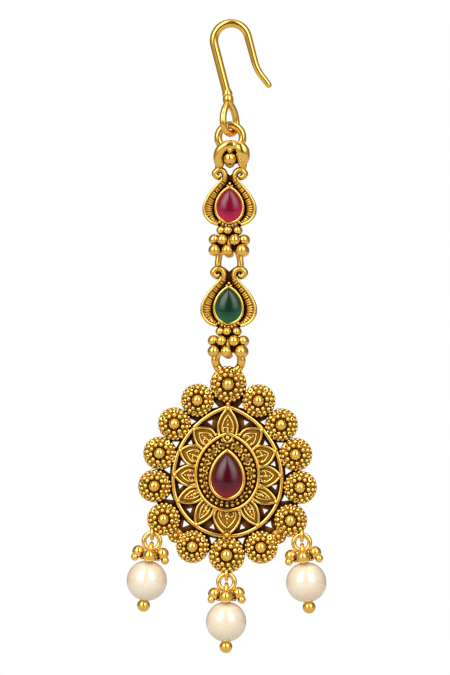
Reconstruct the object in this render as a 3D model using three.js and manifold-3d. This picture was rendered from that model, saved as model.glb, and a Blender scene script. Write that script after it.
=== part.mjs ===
// Forehead jewel in antique gold: a hair hook, two scroll links set with pear cabochons, and a
// pierced medallion with three pearl drops.
// Lengths are millimetres and angles degrees. +Z is up and the front faces -Y. The origin is the
// inside top of the hook's crown, and everything hangs below it in the plane Y = 0.

import * as THREE from 'three';
import { mergeVertices } from 'three/addons/utils/BufferGeometryUtils.js';
import Module from 'manifold-3d';

const wasm = await Module();
wasm.setup();

// Fits
const seatGap = 0.2; // between two wires where one hangs on the other
const stoneGap = 0.12; // between a stone and its setting
const drillGap = 0.12; // between a pin and what it goes through

// Rounded ends of wire, as shares of its radius
const wireEnd = { reach: 0.65, width: 0.68 };

// Hair hook
const hookWire = 0.68; // radii of the wire
const hookTipWire = 0.5;
const hookCrownRadius = 2.77;
const hookShankLength = 8.45;
const hookShankLean = 15;
const hookSleeveRadius = 0.82;
const hookSleeveLength = 1.05;
const hookSleeveLean = 8;
const hookLegLength = 4.3;
const hookLegLean = 15.4;
const hookFlareRadius = 6.1;
const hookFlareLean = 38;
const hookTipLength = 1.9;

// Eye below the hook, a teardrop loop turned about the upright
const eyeWire = 0.55;
const eyeOutline = { halfWidth: 1.75, rise: 3.12, drop: 1.87 };
const eyeTurn = 56;

// Jump ring between the eye and the first link
const ringWire = 0.62;
const ringRadius = 1.95;

// Scroll links. Heights in a link are taken from the widest line of its stone.
const rubyLink = {
  stone: { halfWidth: 2.02, rise: 3.23, drop: 2.1 },
  scrollHalfWidth: 4.3,
  scrollRise: 6.7,
  spineRise: 0.9, // of the plate behind the curls, and of the notch in its top,
  spineNotch: 0.79, // as shares of the scroll's rise
};
const emeraldLink = {
  stone: { halfWidth: 2.1, rise: 3.38, drop: 2.19 },
  scrollHalfWidth: 4.5,
  scrollRise: 7,
  spineRise: 0.96,
  spineNotch: 0.86,
};
const bezelWall = 0.4;
const bezelRoot = 0.2; // of the bezel's back in front of the link's back
const linkPlateMargin = 1.3; // from the stone's outline to the plate's
const linkBack = 0.5; // the flat back of a link
const linkPlateThickness = 0.6;
const bezelFront = -1.3;
const stoneBase = -0.35;
const stoneGirdle = -1.05;
const linkStoneTop = -2.05;
const scrollDepth = 1.7;
const scrollThinDepth = 0.7; // of its narrow ends, as a share of its depth
const spineHalfWidth = 0.19; // as a share of the scroll's half width

// Arch above the ruby link, with a bail behind it
const archHeight = 3.6; // above the tops of the scrolls
const archDepth = 1.47;
const archBallRadius = 1.06;
const archBailRadius = 1.2;
const archBailWire = 0.35;
const archBailRise = 1.09; // of the bail's top, as a share of the arch's height

// Wire loop above the emerald link
const linkLoopWire = 0.54;
const linkLoopReach = 0.76; // of its legs from the middle, as a share of the curls'
const linkLoopHeight = 2.9; // of its wire above the tops of the scrolls

// Cluster of balls below each link, with a bail inside it
const clusterHeight = 4.2; // from the bezel to the lowest balls
const clusterHalfWidth = 2.4;
const clusterDepth = 1.95;
const clusterBall = 0.98; // radius that the balls' sizes are shares of
const clusterStrut = 0.42; // radius between two balls, as a share of the largest ball's
const clusterBailRadius = 1.46;
const clusterBailWire = 0.5;
const clusterBailDrop = 3.45; // from the bezel to its middle

// Medallion. Its heights are taken from the widest line of its rim and stone.
const medallionStone = { halfWidth: 2.45, rise: 4.5, drop: 2.74 };
const medallionBezelWall = 0.5;
const innerRing = { halfWidth: 5.06, rise: 6.6, drop: 5.7 };
const innerRingHeight = 0.85;
const innerRingWidth = 0.5;
const rim = { halfWidth: 8.7, rise: 11.7, drop: 9 };
const rimWidth = 0.7;
const rosettePath = { halfWidth: 11.67, rise: 16.27, drop: 11.06 };
const rosettePathHeight = -0.96;
const rosetteRadius = 2.6;
const endRosetteRadius = 2.86; // the ones at the top and the bottom
const petalOverlap = 0.2; // of its tip and foot past the middles of the bands, in their widths
const petalPole = 0.96; // the height that the petals turn about
const petalWire = 0.42;
const petalRoot = 0.2; // of a petal's back behind the plate's front
const petalLeafDrop = 0.3; // of the leaf in a petal behind its outline
const petalLeafInset = 1.9; // of the leaf, as a share of the petal's wire
const petalInset = { length: 2.1, foot: 0.2 }; // what an inset takes off, as shares of it
const rosetteHole = { size: 0.66, outset: 0.95 }; // from a piercing's middle to its corners,
const petalHole = { size: 0.5, outset: -1.05 }; // and from the rim's line to its middle
const medallionBack = 1.3;
const medallionPlateFront = 0.7;
const rosetteEdgeFront = 0.2;
const rosetteDomeFront = -0.7;
const rosetteBall = 0.87;
const rosetteBallSink = 0.05; // of its middle behind the dome's front
const rosetteStep = 0.2; // of the dome's shoulder behind its front
const rimFront = -0.2;
const petalFront = -0.35;
const granuleFloorFront = 0;
const granule = 0.42; // radius of the grains
const granuleInset = 0.85; // of their row inside the inner ring
const granuleCount = 24;
const crownGranule = { radius: 1.9, forward: 0.9, rise: 0.5 }; // the large one, as shares of a grain
const smallGranule = { radius: 1.15, forward: 0.3 };
const innerRingFront = -0.9;
const medallionBezelFront = -1.5;
const medallionStoneBase = -0.2;
const medallionStoneGirdle = -1.2;
const medallionStoneTop = -2.5;
const medallionLoopRadius = 2.07;
const medallionLoopWire = 0.68;
const medallionLoopDrop = 3.85; // from the loop's middle to the top rosette's
const medallionLoopStep = 0.62; // of its legs behind the rest of it
const medallionLoopReach = 75; // how far its legs come round below its sides
const bandRoot = 0.3; // of the rim's back in front of the medallion's back
const innerRingRoot = 0.4;
const medallionBezelRoot = 0.5;

// Pearl drops. Heights in a drop are taken from the pearl's middle.
const dropBailRadius = 0.85;
const dropBailWire = 0.29;
const dropRingRadius = 1.28;
const dropRingWire = 0.4;
const sideDropRosette = 4; // the rosette that carries it, counted from the top
const sideDropOutset = 1.829; // of its bail outside the middle of that rosette
const sideBailDrop = 0.472; // of a side bail's middle below the rosette's edge
const middleBailDrop = 0.24;
const sideBailStem = { out: 0.25, drop: 1.5, back: 0.46 }; // its root, from the rosette's middle
const sideBailStemWire = 1.6; // its radius, as a share of the bail's wire
const sideDropSplay = 7;
const pearlRadius = 3.23;
const pinWire = 0.33;
const pinBall = 1.03;
const pinBallDrop = 0.75; // of its middle below the pearl, as a share of its radius
const pinLoopRadius = 0.9;
const pinLoopHeight = 5.1;
const capHeight = 0.5;
const capRadius = 1.4;
const capBall = 1;

const finishes = {
  gold: { color: 0xd9a441, roughness: 0.25, metalness: 1 },
  antiqueGold: { color: 0xb5812b, roughness: 0.4, metalness: 1 },
  ruby: { color: 0x8c0f2e, roughness: 0.08, metalness: 0 },
  emerald: { color: 0x0a4a2a, roughness: 0.08, metalness: 0 },
  pearl: { color: 0xf0e4d0, roughness: 0.25, metalness: 0 },
};

// Geometry and solids

const radians = THREE.MathUtils.degToRad;
const lerp = THREE.MathUtils.lerp;

function signedVolume(points, index) {
  const [a, b, c] = [new THREE.Vector3(), new THREE.Vector3(), new THREE.Vector3()];
  let volume = 0;
  for (let i = 0; i < index.length; i += 3) {
    a.fromArray(points, 3 * index[i]);
    b.fromArray(points, 3 * index[i + 1]);
    c.fromArray(points, 3 * index[i + 2]);
    volume += a.dot(b.cross(c)) / 6;
  }
  return volume;
}

// A closed geometry as a solid, with its doubled points merged and its faces pointing out.
function solid(geometry) {
  const bare = geometry.clone();
  bare.deleteAttribute('normal');
  bare.deleteAttribute('uv');
  const merged = mergeVertices(bare, 1e-4);
  const corners = merged.index.array;
  const index = [];
  for (let i = 0; i < corners.length; i += 3) {
    const [a, b, c] = [corners[i], corners[i + 1], corners[i + 2]];
    if (a !== b && b !== c && c !== a) index.push(a, b, c);
  }
  const points = merged.attributes.position.array;
  if (signedVolume(points, index) < 0) index.reverse();
  const triVerts = new Uint32Array(index);
  return new wasm.Manifold(new wasm.Mesh({ numProp: 3, vertProperties: points, triVerts }));
}

function geometryOf(body) {
  const mesh = body.getMesh();
  const geometry = new THREE.BufferGeometry();
  const points = new Float32Array(mesh.numVert * 3);
  for (let i = 0; i < mesh.numVert; i += 1) {
    points.set(mesh.vertProperties.subarray(i * mesh.numProp, i * mesh.numProp + 3), 3 * i);
  }
  geometry.setAttribute('position', new THREE.BufferAttribute(points, 3));
  geometry.setIndex(new THREE.BufferAttribute(new Uint32Array(mesh.triVerts), 1));
  geometry.computeVertexNormals();
  return geometry;
}

// Geometries soldered into one solid.
function join(geometries) {
  return geometries.map(solid).reduce((whole, piece) => whole.add(piece));
}

// A skin over rings of points, closed at both ends.
function loft(rings) {
  const count = rings[0].length;
  const middle = (ring) => {
    return ring.reduce((sum, p) => sum.add(p), new THREE.Vector3()).divideScalar(count);
  };
  const points = [...rings.flat(), middle(rings[0]), middle(rings[rings.length - 1])];
  const startMiddle = points.length - 2;
  const endMiddle = points.length - 1;
  const lastRing = (rings.length - 1) * count;
  const index = [];
  for (let i = 0; i < count; i += 1) {
    const next = (i + 1) % count;
    for (let ring = 0; ring < lastRing; ring += count) {
      index.push(ring + i, ring + next, ring + count + i);
      index.push(ring + next, ring + count + next, ring + count + i);
    }
    index.push(startMiddle, next, i);
    index.push(endMiddle, lastRing + i, lastRing + next);
  }
  return new THREE.BufferGeometry().setFromPoints(points).setIndex(index);
}

// Rings of an oval section along a line of points: wide in the plane across `depthAxis`, deep
// along it. Both are functions of the share of the length.
function sectionRings(points, { wide, deep = wide, sides = 8, depthAxis }) {
  const lengths = [0];
  for (let i = 1; i < points.length; i += 1) {
    lengths.push(lengths[i - 1] + points[i].distanceTo(points[i - 1]));
  }
  return points.map((point, i) => {
    const before = points[Math.max(i - 1, 0)];
    const after = points[Math.min(i + 1, points.length - 1)];
    const along = after.clone().sub(before).normalize();
    const across = depthAxis.clone().cross(along).normalize();
    const outward = along.clone().cross(across);
    const share = lengths[i] / lengths[lengths.length - 1];
    return Array.from({ length: sides }, (_, side) => {
      const angle = (2 * Math.PI * (side + 0.5)) / sides;
      return point
        .clone()
        .addScaledVector(across, wide(share) * Math.cos(angle))
        .addScaledVector(outward, deep(share) * Math.sin(angle));
    });
  });
}

const forwardAxis = new THREE.Vector3(0, 1, 0);

// Round wire along a line of points, with rounded ends.
function wire(points, radius, sides = 6) {
  const size = typeof radius === 'function' ? radius : () => radius;
  const rings = sectionRings(points, { wide: size, sides, depthAxis: forwardAxis });
  const cap = (ring, end, inner, reach) => {
    const outward = end.clone().sub(inner).normalize();
    const centre = end.clone().addScaledVector(outward, wireEnd.reach * reach);
    return ring.map((p) => p.clone().sub(end).multiplyScalar(wireEnd.width).add(centre));
  };
  const last = points.length - 1;
  return loft([
    cap(rings[0], points[0], points[1], size(0)),
    ...rings,
    cap(rings[last], points[last], points[last - 1], size(1)),
  ]);
}

function ball(radius, place, width = 8, height = 4) {
  return placed(new THREE.SphereGeometry(radius, width, height).rotateX(Math.PI / 2), place);
}

function placed(geometry, place) {
  return geometry.translate(place.x, place.y, place.z);
}

function at(x, y, z) {
  return new THREE.Vector3(x, y, z);
}

// A wire ring seen round from the front, and one seen edge on.
function frontRing(radius, wireRadius, place, segments = 18) {
  return placed(new THREE.TorusGeometry(radius, wireRadius, 6, segments).rotateX(Math.PI / 2), place);
}

function sideRing(radius, wireRadius, place, segments = 12) {
  return placed(new THREE.TorusGeometry(radius, wireRadius, 5, segments).rotateY(Math.PI / 2), place);
}

function strut(from, to, radius, sides = 3) {
  const length = from.distanceTo(to);
  const turn = new THREE.Quaternion().setFromUnitVectors(forwardAxis, to.clone().sub(from).normalize());
  const rod = new THREE.CylinderGeometry(radius, radius, length, sides).applyQuaternion(turn);
  return placed(rod, from.clone().lerp(to, 0.5));
}

// A flat shape in the XZ plane, thick from `back` forward to `front`.
function slab(shape, back, front) {
  return new THREE.ExtrudeGeometry(shape, { depth: back - front, bevelEnabled: false, curveSegments: 1 })
    .rotateX(Math.PI / 2)
    .translate(0, back, 0);
}

// Pear outlines: two arcs that meet in a tip above the widest line, and half an ellipse below it

function pearArcRadius({ halfWidth, rise }) {
  return (rise * rise + halfWidth * halfWidth) / (2 * halfWidth);
}

// The outline a distance outside the given one.
function pearOffset(pear, distance) {
  const radius = pearArcRadius(pear);
  const rise = Math.sqrt((radius + distance) ** 2 - (radius - pear.halfWidth) ** 2);
  return { halfWidth: pear.halfWidth + distance, rise, drop: pear.drop + distance };
}

// The right half of the outline, from the tip to the bottom.
function pearHalf(pear) {
  const radius = pearArcRadius(pear);
  const path = new THREE.Path();
  path.absarc(pear.halfWidth - radius, 0, radius, Math.asin(Math.min(1, pear.rise / radius)), 0, true);
  path.absellipse(0, 0, pear.halfWidth, pear.drop, 0, -Math.PI / 2, true);
  return path;
}

// The whole outline, counterclockwise from the tip.
function pearPoints(pear, steps, height = 0) {
  const right = pearHalf(pear).getSpacedPoints(steps).map((p) => new THREE.Vector2(p.x, p.y + height));
  right[0].x = 0;
  right[steps].x = 0;
  const left = right.slice(1, -1).map((p) => new THREE.Vector2(-p.x, p.y));
  return [right[0], ...left, right[steps], ...right.slice(1, -1).reverse()];
}

function pearShape(pear, steps, height = 0) {
  return new THREE.Shape(pearPoints(pear, steps, height));
}

function pearBand(outer, inner, steps, height, back, front) {
  const shape = pearShape(outer, steps, height);
  shape.holes.push(new THREE.Path(pearPoints(inner, steps, height)));
  return slab(shape, back, front);
}

// The point of an outline at an angle from upright, seen from a pole on the middle line.
function pearAt(pear, height, pole, angle) {
  const half = pearHalf(pear);
  const wanted = radians(Math.abs(angle));
  let [low, high] = [0, 1];
  for (let i = 0; i < 24; i += 1) {
    const share = (low + high) / 2;
    const p = half.getPoint(share);
    if (Math.atan2(p.x, p.y + height - pole) < wanted) low = share;
    else high = share;
  }
  const found = half.getPoint(low);
  return new THREE.Vector2(found.x * Math.sign(angle || 1), found.y + height);
}

const domeShares = [0.3, 0.56, 0.8]; // of the quarter turn from a stone's girdle to its top

// A pear cabochon: a flat base, a straight wall to its girdle and a dome.
function cabochon(pear, { base, girdle, top }) {
  const outline = pearPoints(pear, 9);
  const layer = (scale, forward) => outline.map((p) => at(p.x * scale, forward, p.y * scale));
  const rings = [layer(1, base), layer(1, girdle)];
  for (const share of domeShares) {
    const turn = (share * Math.PI) / 2;
    rings.push(layer(Math.cos(turn), lerp(girdle, top, Math.sin(turn))));
  }
  const dome = loft(rings);
  const crown = dome.attributes.position;
  crown.setXYZ(crown.count - 1, 0, top, 0);
  return solid(dome);
}

// Hook, eye and jump ring

function hookLine() {
  const crown = new THREE.Vector2(0, hookWire - hookCrownRadius);
  const shankTurn = Math.PI + radians(hookShankLean);
  const legTurn = radians(hookLegLean);
  const flareTurn = radians(hookFlareLean);
  const around = (middle, radius, turn) => {
    return middle.clone().add(new THREE.Vector2(Math.cos(turn), Math.sin(turn)).multiplyScalar(radius));
  };
  const down = (start, length, turn) => {
    return start.clone().add(new THREE.Vector2(Math.sin(turn), -Math.cos(turn)).multiplyScalar(length));
  };
  const arc = (middle, radius, from, to, steps) => {
    const curve = new THREE.EllipseCurve(middle.x, middle.y, radius, radius, from, to, from > to);
    return curve.getPoints(steps);
  };
  const shankTop = around(crown, hookCrownRadius, shankTurn);
  const shankEnd = down(shankTop, hookShankLength, radians(hookShankLean));
  const legEnd = down(around(crown, hookCrownRadius, legTurn), hookLegLength, legTurn);
  const flareMiddle = around(legEnd, hookFlareRadius, legTurn);
  const flareEnd = around(flareMiddle, hookFlareRadius, Math.PI + flareTurn);
  const line = [
    shankEnd,
    ...arc(crown, hookCrownRadius, shankTurn, legTurn, 16),
    ...arc(flareMiddle, hookFlareRadius, Math.PI + legTurn, Math.PI + flareTurn, 4),
    down(flareEnd, hookTipLength, flareTurn),
  ];
  const sleeveEnd = down(shankEnd, hookSleeveLength, radians(hookSleeveLean));
  return { line: line.map((p) => at(p.x, 0, p.y)), shankEnd, sleeveEnd };
}

const hook = hookLine();
const eyeLength = eyeOutline.rise + eyeOutline.drop;
const eyeBottom = hook.sleeveEnd.y - Math.sqrt(eyeLength ** 2 - hook.sleeveEnd.x ** 2);

function hairHook() {
  const bend = hookCrownRadius * (Math.PI / 2 + radians(hookShankLean));
  const leg = hookCrownRadius * (Math.PI / 2 - radians(hookLegLean)) + hookLegLength + hookTipLength;
  const taper = leg + hookFlareRadius * radians(hookFlareLean - hookLegLean);
  const crownShare = (hookShankLength + bend) / (hookShankLength + bend + taper);
  const radius = (share) => {
    return lerp(hookWire, hookTipWire, Math.max(0, (share - crownShare) / (1 - crownShare)));
  };
  const shankEnd = at(hook.shankEnd.x, 0, hook.shankEnd.y);
  const sleeveEnd = at(hook.sleeveEnd.x, 0, hook.sleeveEnd.y);
  const sleeve = wire([shankEnd, sleeveEnd], hookSleeveRadius, 8);
  return join([wire(hook.line, radius, 8), sleeve, eye(sleeveEnd)]);
}

// The teardrop loop, from the sleeve down to the middle line.
function eye(top) {
  const downward = at(0, 0, eyeBottom).sub(top).normalize();
  const sideways = at(Math.cos(radians(eyeTurn)), Math.sin(radians(eyeTurn)), 0);
  const normal = downward.clone().cross(sideways).normalize();
  const points = pearPoints(eyeOutline, 9).map((p) => {
    return top.clone().addScaledVector(sideways, p.x).addScaledVector(downward, eyeOutline.rise - p.y);
  });
  return closedWire(points, eyeWire, normal);
}

// Round wire along a closed line of points.
function closedWire(points, radius, depthAxis, sides = 6) {
  const looped = [points[points.length - 1], ...points, points[0]];
  const rings = sectionRings(looped, { wide: () => radius, sides, depthAxis }).slice(1, -1);
  const count = rings.length;
  const index = [];
  for (let ring = 0; ring < count; ring += 1) {
    const next = (ring + 1) % count;
    for (let side = 0; side < sides; side += 1) {
      const after = (side + 1) % sides;
      index.push(ring * sides + side, ring * sides + after, next * sides + side);
      index.push(ring * sides + after, next * sides + after, next * sides + side);
    }
  }
  return new THREE.BufferGeometry().setFromPoints(rings.flat()).setIndex(index);
}

// Scroll links

// Half of a scroll from the middle of its curl to its end below the bezel: places as shares of
// the scroll's half width and rise, widths as shares of the half width.
const scrollTable = [
  { across: 0.335, up: 0.781, width: 0.088 },
  { across: 0.433, up: 0.74, width: 0.1 },
  { across: 0.558, up: 0.831, width: 0.125 },
  { across: 0.414, up: 0.919, width: 0.12 },
  { across: 0.247, up: 0.884, width: 0.12 },
  { across: 0.186, up: 0.772, width: 0.115 },
  { across: 0.235, up: 0.652, width: 0.115 },
  { across: 0.433, up: 0.485, width: 0.14 },
  { across: 0.656, up: 0.282, width: 0.172 },
  { across: 0.795, up: 0.055, width: 0.205 },
  { across: 0.788, up: -0.112, width: 0.2 },
  { across: 0.644, up: -0.26, width: 0.15 },
  { across: 0.395, up: -0.355, width: 0.09 },
];
const curl = { across: 0.465, up: 0.83 }; // the middle of the curl, in the same shares

function columnAt(table, column, share) {
  const place = share * (table.length - 1);
  const row = Math.min(Math.floor(place), table.length - 2);
  return lerp(table[row][column], table[row + 1][column], place - row);
}

function scroll(link, side) {
  const middle = linkBack - scrollDepth / 2;
  const controls = scrollTable.map((row) => {
    return at(side * row.across * link.scrollHalfWidth, middle, row.up * link.scrollRise);
  });
  const curve = new THREE.CatmullRomCurve3(controls, false, 'centripetal');
  const steps = 20;
  const points = [];
  const widths = [];
  for (let i = 0; i <= steps; i += 1) {
    points.push(curve.getPoint(i / steps));
    widths.push(columnAt(scrollTable, 'width', i / steps) * link.scrollHalfWidth);
  }
  const widest = Math.max(...widths);
  const rings = points.map((_, i) => {
    const deep = (scrollDepth / 2) * lerp(scrollThinDepth, 1, widths[i] / widest);
    const three = [points[Math.max(i - 1, 0)], points[i], points[Math.min(i + 1, steps)]];
    const options = { wide: () => widths[i], deep: () => deep, sides: 6, depthAxis: forwardAxis };
    return sectionRings(three, options)[1];
  });
  return loft(rings);
}

function linkSetting(link) {
  const outer = pearOffset(link.stone, bezelWall);
  const plate = pearShape(pearOffset(link.stone, linkPlateMargin), 10);
  const spineHalf = spineHalfWidth * link.scrollHalfWidth;
  const spineTop = link.spineRise * link.scrollRise;
  const spineShape = new THREE.Shape([
    new THREE.Vector2(-spineHalf, 0),
    new THREE.Vector2(spineHalf, 0),
    new THREE.Vector2(spineHalf, spineTop),
    new THREE.Vector2(0, link.spineNotch * link.scrollRise),
    new THREE.Vector2(-spineHalf, spineTop),
  ]);
  const seat = pearOffset(link.stone, stoneGap);
  const plateFront = linkBack - linkPlateThickness;
  return [
    slab(plate, linkBack, plateFront),
    slab(spineShape, linkBack, plateFront),
    pearBand(outer, seat, 10, 0, linkBack - bezelRoot, bezelFront),
    scroll(link, 1),
    scroll(link, -1),
  ];
}

// Balls of a cluster, front half: places as shares of its half width, depth and height, and radii
// as shares of the ball's. `from` is the ball that carries a row's ball.
const clusterTable = [
  { across: -0.56, forward: 0.39, down: 0.24, radius: 0.75 },
  { across: -0.1, forward: 0.6, down: 0.24, radius: 0.74 },
  { across: 0.54, forward: 0.39, down: 0.24, radius: 0.77 },
  { across: -1, forward: 0.42, down: 0.6, radius: 0.92 },
  { across: -0.46, forward: 0.82, down: 0.6, radius: 0.9 },
  { across: 0.38, forward: 0.84, down: 0.6, radius: 0.95 },
  { across: 0.98, forward: 0.44, down: 0.6, radius: 0.92, from: 5 },
  { across: -0.96, forward: 1, down: 1, radius: 0.98, from: 3 },
  { across: -0.125, forward: 1, down: 1, radius: 0.94, from: 4 },
  { across: 0.875, forward: 1, down: 1, radius: 1.04, from: 6 },
];
const clusterCore = { halfWidth: 0.62, halfDepth: 0.5, top: -0.1, bottom: 0.62 };

function clusterTop(link) {
  return -(link.stone.drop + bezelWall);
}

function cluster(link) {
  const top = clusterTop(link);
  const pieces = [];
  for (const side of [-1, 1]) {
    const places = clusterTable.map((row) => {
      const forward = side * row.forward * clusterDepth;
      return at(row.across * clusterHalfWidth, forward, top - row.down * clusterHeight);
    });
    clusterTable.forEach((row, i) => {
      pieces.push(ball(row.radius * clusterBall, places[i]));
      if (row.from) pieces.push(strut(places[i], places[row.from], clusterStrut * clusterBall));
    });
  }
  const height = (clusterCore.bottom - clusterCore.top) * clusterHeight;
  const core = new THREE.BoxGeometry(
    2 * clusterCore.halfWidth * clusterHalfWidth,
    2 * clusterCore.halfDepth * clusterDepth,
    height,
  ).translate(0, 0, top - clusterCore.top * clusterHeight - height / 2);
  const bail = sideRing(clusterBailRadius, clusterBailWire, at(0, 0, top - clusterBailDrop));
  return [...pieces, core, bail];
}

// Where the wire of the bail in the cluster is lowest.
function clusterBailBottom(link) {
  return clusterTop(link) - clusterBailDrop - clusterBailRadius;
}

// Bands of the arch in front of the bail: places as shares of the curl's distance from the
// middle, the arch's height above the curls, and its depth.
const archBands = [
  {
    radius: 0.8,
    rows: [
      { across: 0.27, up: 0.95, forward: 1 },
      { across: -0.29, up: 0.92, forward: 1 },
      { across: -0.74, up: 0.74, forward: 0.9 },
      { across: -0.92, up: 0.46, forward: 0.75 },
      { across: -0.82, up: 0.14, forward: 0.55 },
    ],
  },
  {
    radius: 0.66,
    rows: [
      { across: 0.71, up: 0.97, forward: 1 },
      { across: 0.75, up: 0.73, forward: 0.95 },
      { across: 0.8, up: 0.46, forward: 0.8 },
    ],
  },
  {
    radius: 0.62,
    rows: [
      { across: 0.6, up: 0.98, forward: 0.9 },
      { across: 1.2, up: 0.75, forward: 0.8 },
      { across: 1.29, up: 0.42, forward: 0.7 },
      { across: 1.12, up: 0.12, forward: 0.5 },
    ],
  },
];

// Balls between the feet of the arch and the middles of its feet, in the same shares.
const archUpperBall = { across: 0, up: 0.35, forward: 0.82 };
const archLowerBall = { across: 0, up: 0.16, forward: 0.4, radius: 0.75 };
const archFeet = { across: [-0.86, 1.14], up: 0.17, forward: 0.55, curlUp: 0.9 };

function archBailTop(link) {
  return link.scrollRise + archBailRise * archHeight;
}

function arch(link) {
  const reach = curl.across * link.scrollHalfWidth;
  const place = ({ across, up, forward }) => {
    return at(across * reach, -forward * archDepth, link.scrollRise + up * archHeight);
  };
  const bands = archBands.map((band) => {
    const curve = new THREE.CatmullRomCurve3(band.rows.map(place), false, 'centripetal');
    return wire(curve.getPoints(2 * (band.rows.length - 1)), band.radius);
  });
  const bail = sideRing(archBailRadius, archBailWire, at(0, 0, archBailTop(link) - archBailRadius));
  const upperBall = ball(archBallRadius, place(archUpperBall));
  const lowerBall = ball(archBallRadius * archLowerBall.radius, place(archLowerBall));
  const feet = archFeet.across.map((across) => {
    const curlHeight = archFeet.curlUp * link.scrollRise;
    const curlMiddle = at(Math.sign(across) * reach, linkBack - scrollDepth / 2, curlHeight);
    return strut(place({ ...archFeet, across }), curlMiddle, archBallRadius / 2);
  });
  return [...bands, bail, upperBall, lowerBall, ...feet];
}

// A wire loop that stands up from behind the curls.
function linkLoop(link) {
  const reach = linkLoopReach * curl.across * link.scrollHalfWidth;
  const foot = curl.up * link.scrollRise;
  const crown = link.scrollRise + linkLoopHeight - reach;
  const bow = new THREE.EllipseCurve(0, crown, reach, reach, 0, Math.PI, false);
  const points = [new THREE.Vector2(reach, foot), ...bow.getPoints(10), new THREE.Vector2(-reach, foot)];
  return [wire(points.map((p) => at(p.x, 0, p.y)), linkLoopWire)];
}

function linkStone(link) {
  return cabochon(link.stone, { base: stoneBase, girdle: stoneGirdle, top: linkStoneTop });
}

// Medallion

// Stations of the rosettes along half of their path, from the top to the bottom.
const rosetteStations = [0, 0.142, 0.277, 0.412, 0.548, 0.69, 0.855, 1];

// Petals of one half: the angles of their tips, and of the joints between their feet.
const petalTips = [0, 37.5, 64, 91, 119, 149, 180];
const petalJoints = [14, 43.5, 77, 111, 135.6, 160];

// Half a petal from foot to tip: shares of its length and of its half width.
const petalTable = [
  { along: 0, across: 0.86 },
  { along: 0.34, across: 1.06 },
  { along: 0.7, across: 0.7 },
  { along: 1, across: 0 },
];

function rosettePlaces() {
  const half = pearHalf(rosettePath);
  const places = [];
  for (const share of rosetteStations) {
    const p = half.getPoint(share);
    const isEnd = share === 0 || share === 1;
    const radius = isEnd ? endRosetteRadius : rosetteRadius;
    for (const side of isEnd ? [1] : [1, -1]) {
      places.push({ x: isEnd ? 0 : side * p.x, z: p.y + rosettePathHeight, radius });
    }
  }
  return places;
}

const rosetteGrains = 7;
const rosetteShoulder = 0.62; // of the grains' ring, as a share of the rosette's radius
const rosetteBallFoot = 1.06; // of the ball's foot, as a share of the ball's radius
const rosetteBallRows = [6, 43, 72]; // turns up the ball, from its widest line

// A domed disc with a ball in its middle and a ring of raised grains round it.
function rosette(radius) {
  const ballMiddle = rosetteDomeFront + rosetteBallSink;
  const rows = [
    { reach: radius, front: medallionBack, grain: 0 },
    { reach: radius, front: rosetteEdgeFront, grain: 0 },
    { reach: rosetteShoulder * radius, front: rosetteDomeFront + rosetteStep, grain: granule / 2 },
    { reach: rosetteBallFoot * rosetteBall, front: ballMiddle + rosetteStep, grain: 0 },
    ...rosetteBallRows.map((turn) => ({
      reach: rosetteBall * Math.cos(radians(turn)),
      front: ballMiddle - rosetteBall * Math.sin(radians(turn)),
      grain: 0,
    })),
  ];
  const rings = rows.map(({ reach, front, grain }) => {
    return Array.from({ length: 2 * rosetteGrains }, (_, i) => {
      const turn = (Math.PI * (i + 0.5)) / rosetteGrains;
      return at(reach * Math.sin(turn), front + (i % 2 ? grain : -grain), reach * Math.cos(turn));
    });
  });
  return loft(rings);
}

// The outline of a petal between its foot's two ends, drawn in by `inset`.
function petalShape(petal, inset) {
  const length = petal.tip.distanceTo(petal.foot) - petalInset.length * inset;
  const along = petal.tip.clone().sub(petal.foot).normalize();
  const across = new THREE.Vector2(along.y, -along.x);
  const point = (row, side) => {
    const reach = Math.max(0, petal.halfWidth * row.across - (row.across ? inset : 0));
    return petal.foot
      .clone()
      .addScaledVector(along, row.along * length + (row.along ? 0 : petalInset.foot * inset))
      .addScaledVector(across, side * reach);
  };
  const right = petalTable.map((row) => point(row, 1));
  const left = petalTable.slice(0, -1).reverse().map((row) => point(row, -1));
  return new THREE.Shape([...right, ...left]);
}

function petals() {
  const tipLine = pearOffset(rim, -petalOverlap * rimWidth);
  const footLine = pearOffset(innerRing, petalOverlap * innerRingWidth);
  const joints = [-petalJoints[0], ...petalJoints, 360 - petalJoints[petalJoints.length - 1]];
  const found = [];
  petalTips.forEach((angle, i) => {
    const ends = [joints[i], joints[i + 1]].map((joint) => {
      return pearAt(footLine, innerRingHeight, petalPole, joint > 180 ? joint - 360 : joint);
    });
    const tip = pearAt(tipLine, 0, petalPole, angle);
    const foot = ends[0].clone().lerp(ends[1], 0.5);
    found.push({ tip, foot, halfWidth: ends[0].distanceTo(ends[1]) / 2 });
    if (angle > 0 && angle < 180) {
      const mirrored = (p) => new THREE.Vector2(-p.x, p.y);
      found.push({ tip: mirrored(tip), foot: mirrored(foot), halfWidth: ends[0].distanceTo(ends[1]) / 2 });
    }
  });
  return found;
}

function petal(place) {
  const band = petalShape(place, 0);
  band.holes.push(new THREE.Path(petalShape(place, petalWire).getPoints()));
  const leaf = petalShape(place, petalLeafInset * petalWire);
  const back = medallionPlateFront + petalRoot;
  return [slab(band, back, petalFront), slab(leaf, back, petalFront + petalLeafDrop)];
}

function triangleHole(middle, inward, size) {
  const corners = [0, 120, 240].map((turn) => {
    const corner = inward.clone().rotateAround(new THREE.Vector2(), radians(turn));
    return middle.clone().addScaledVector(corner, size);
  });
  return new THREE.Path(corners);
}

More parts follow.
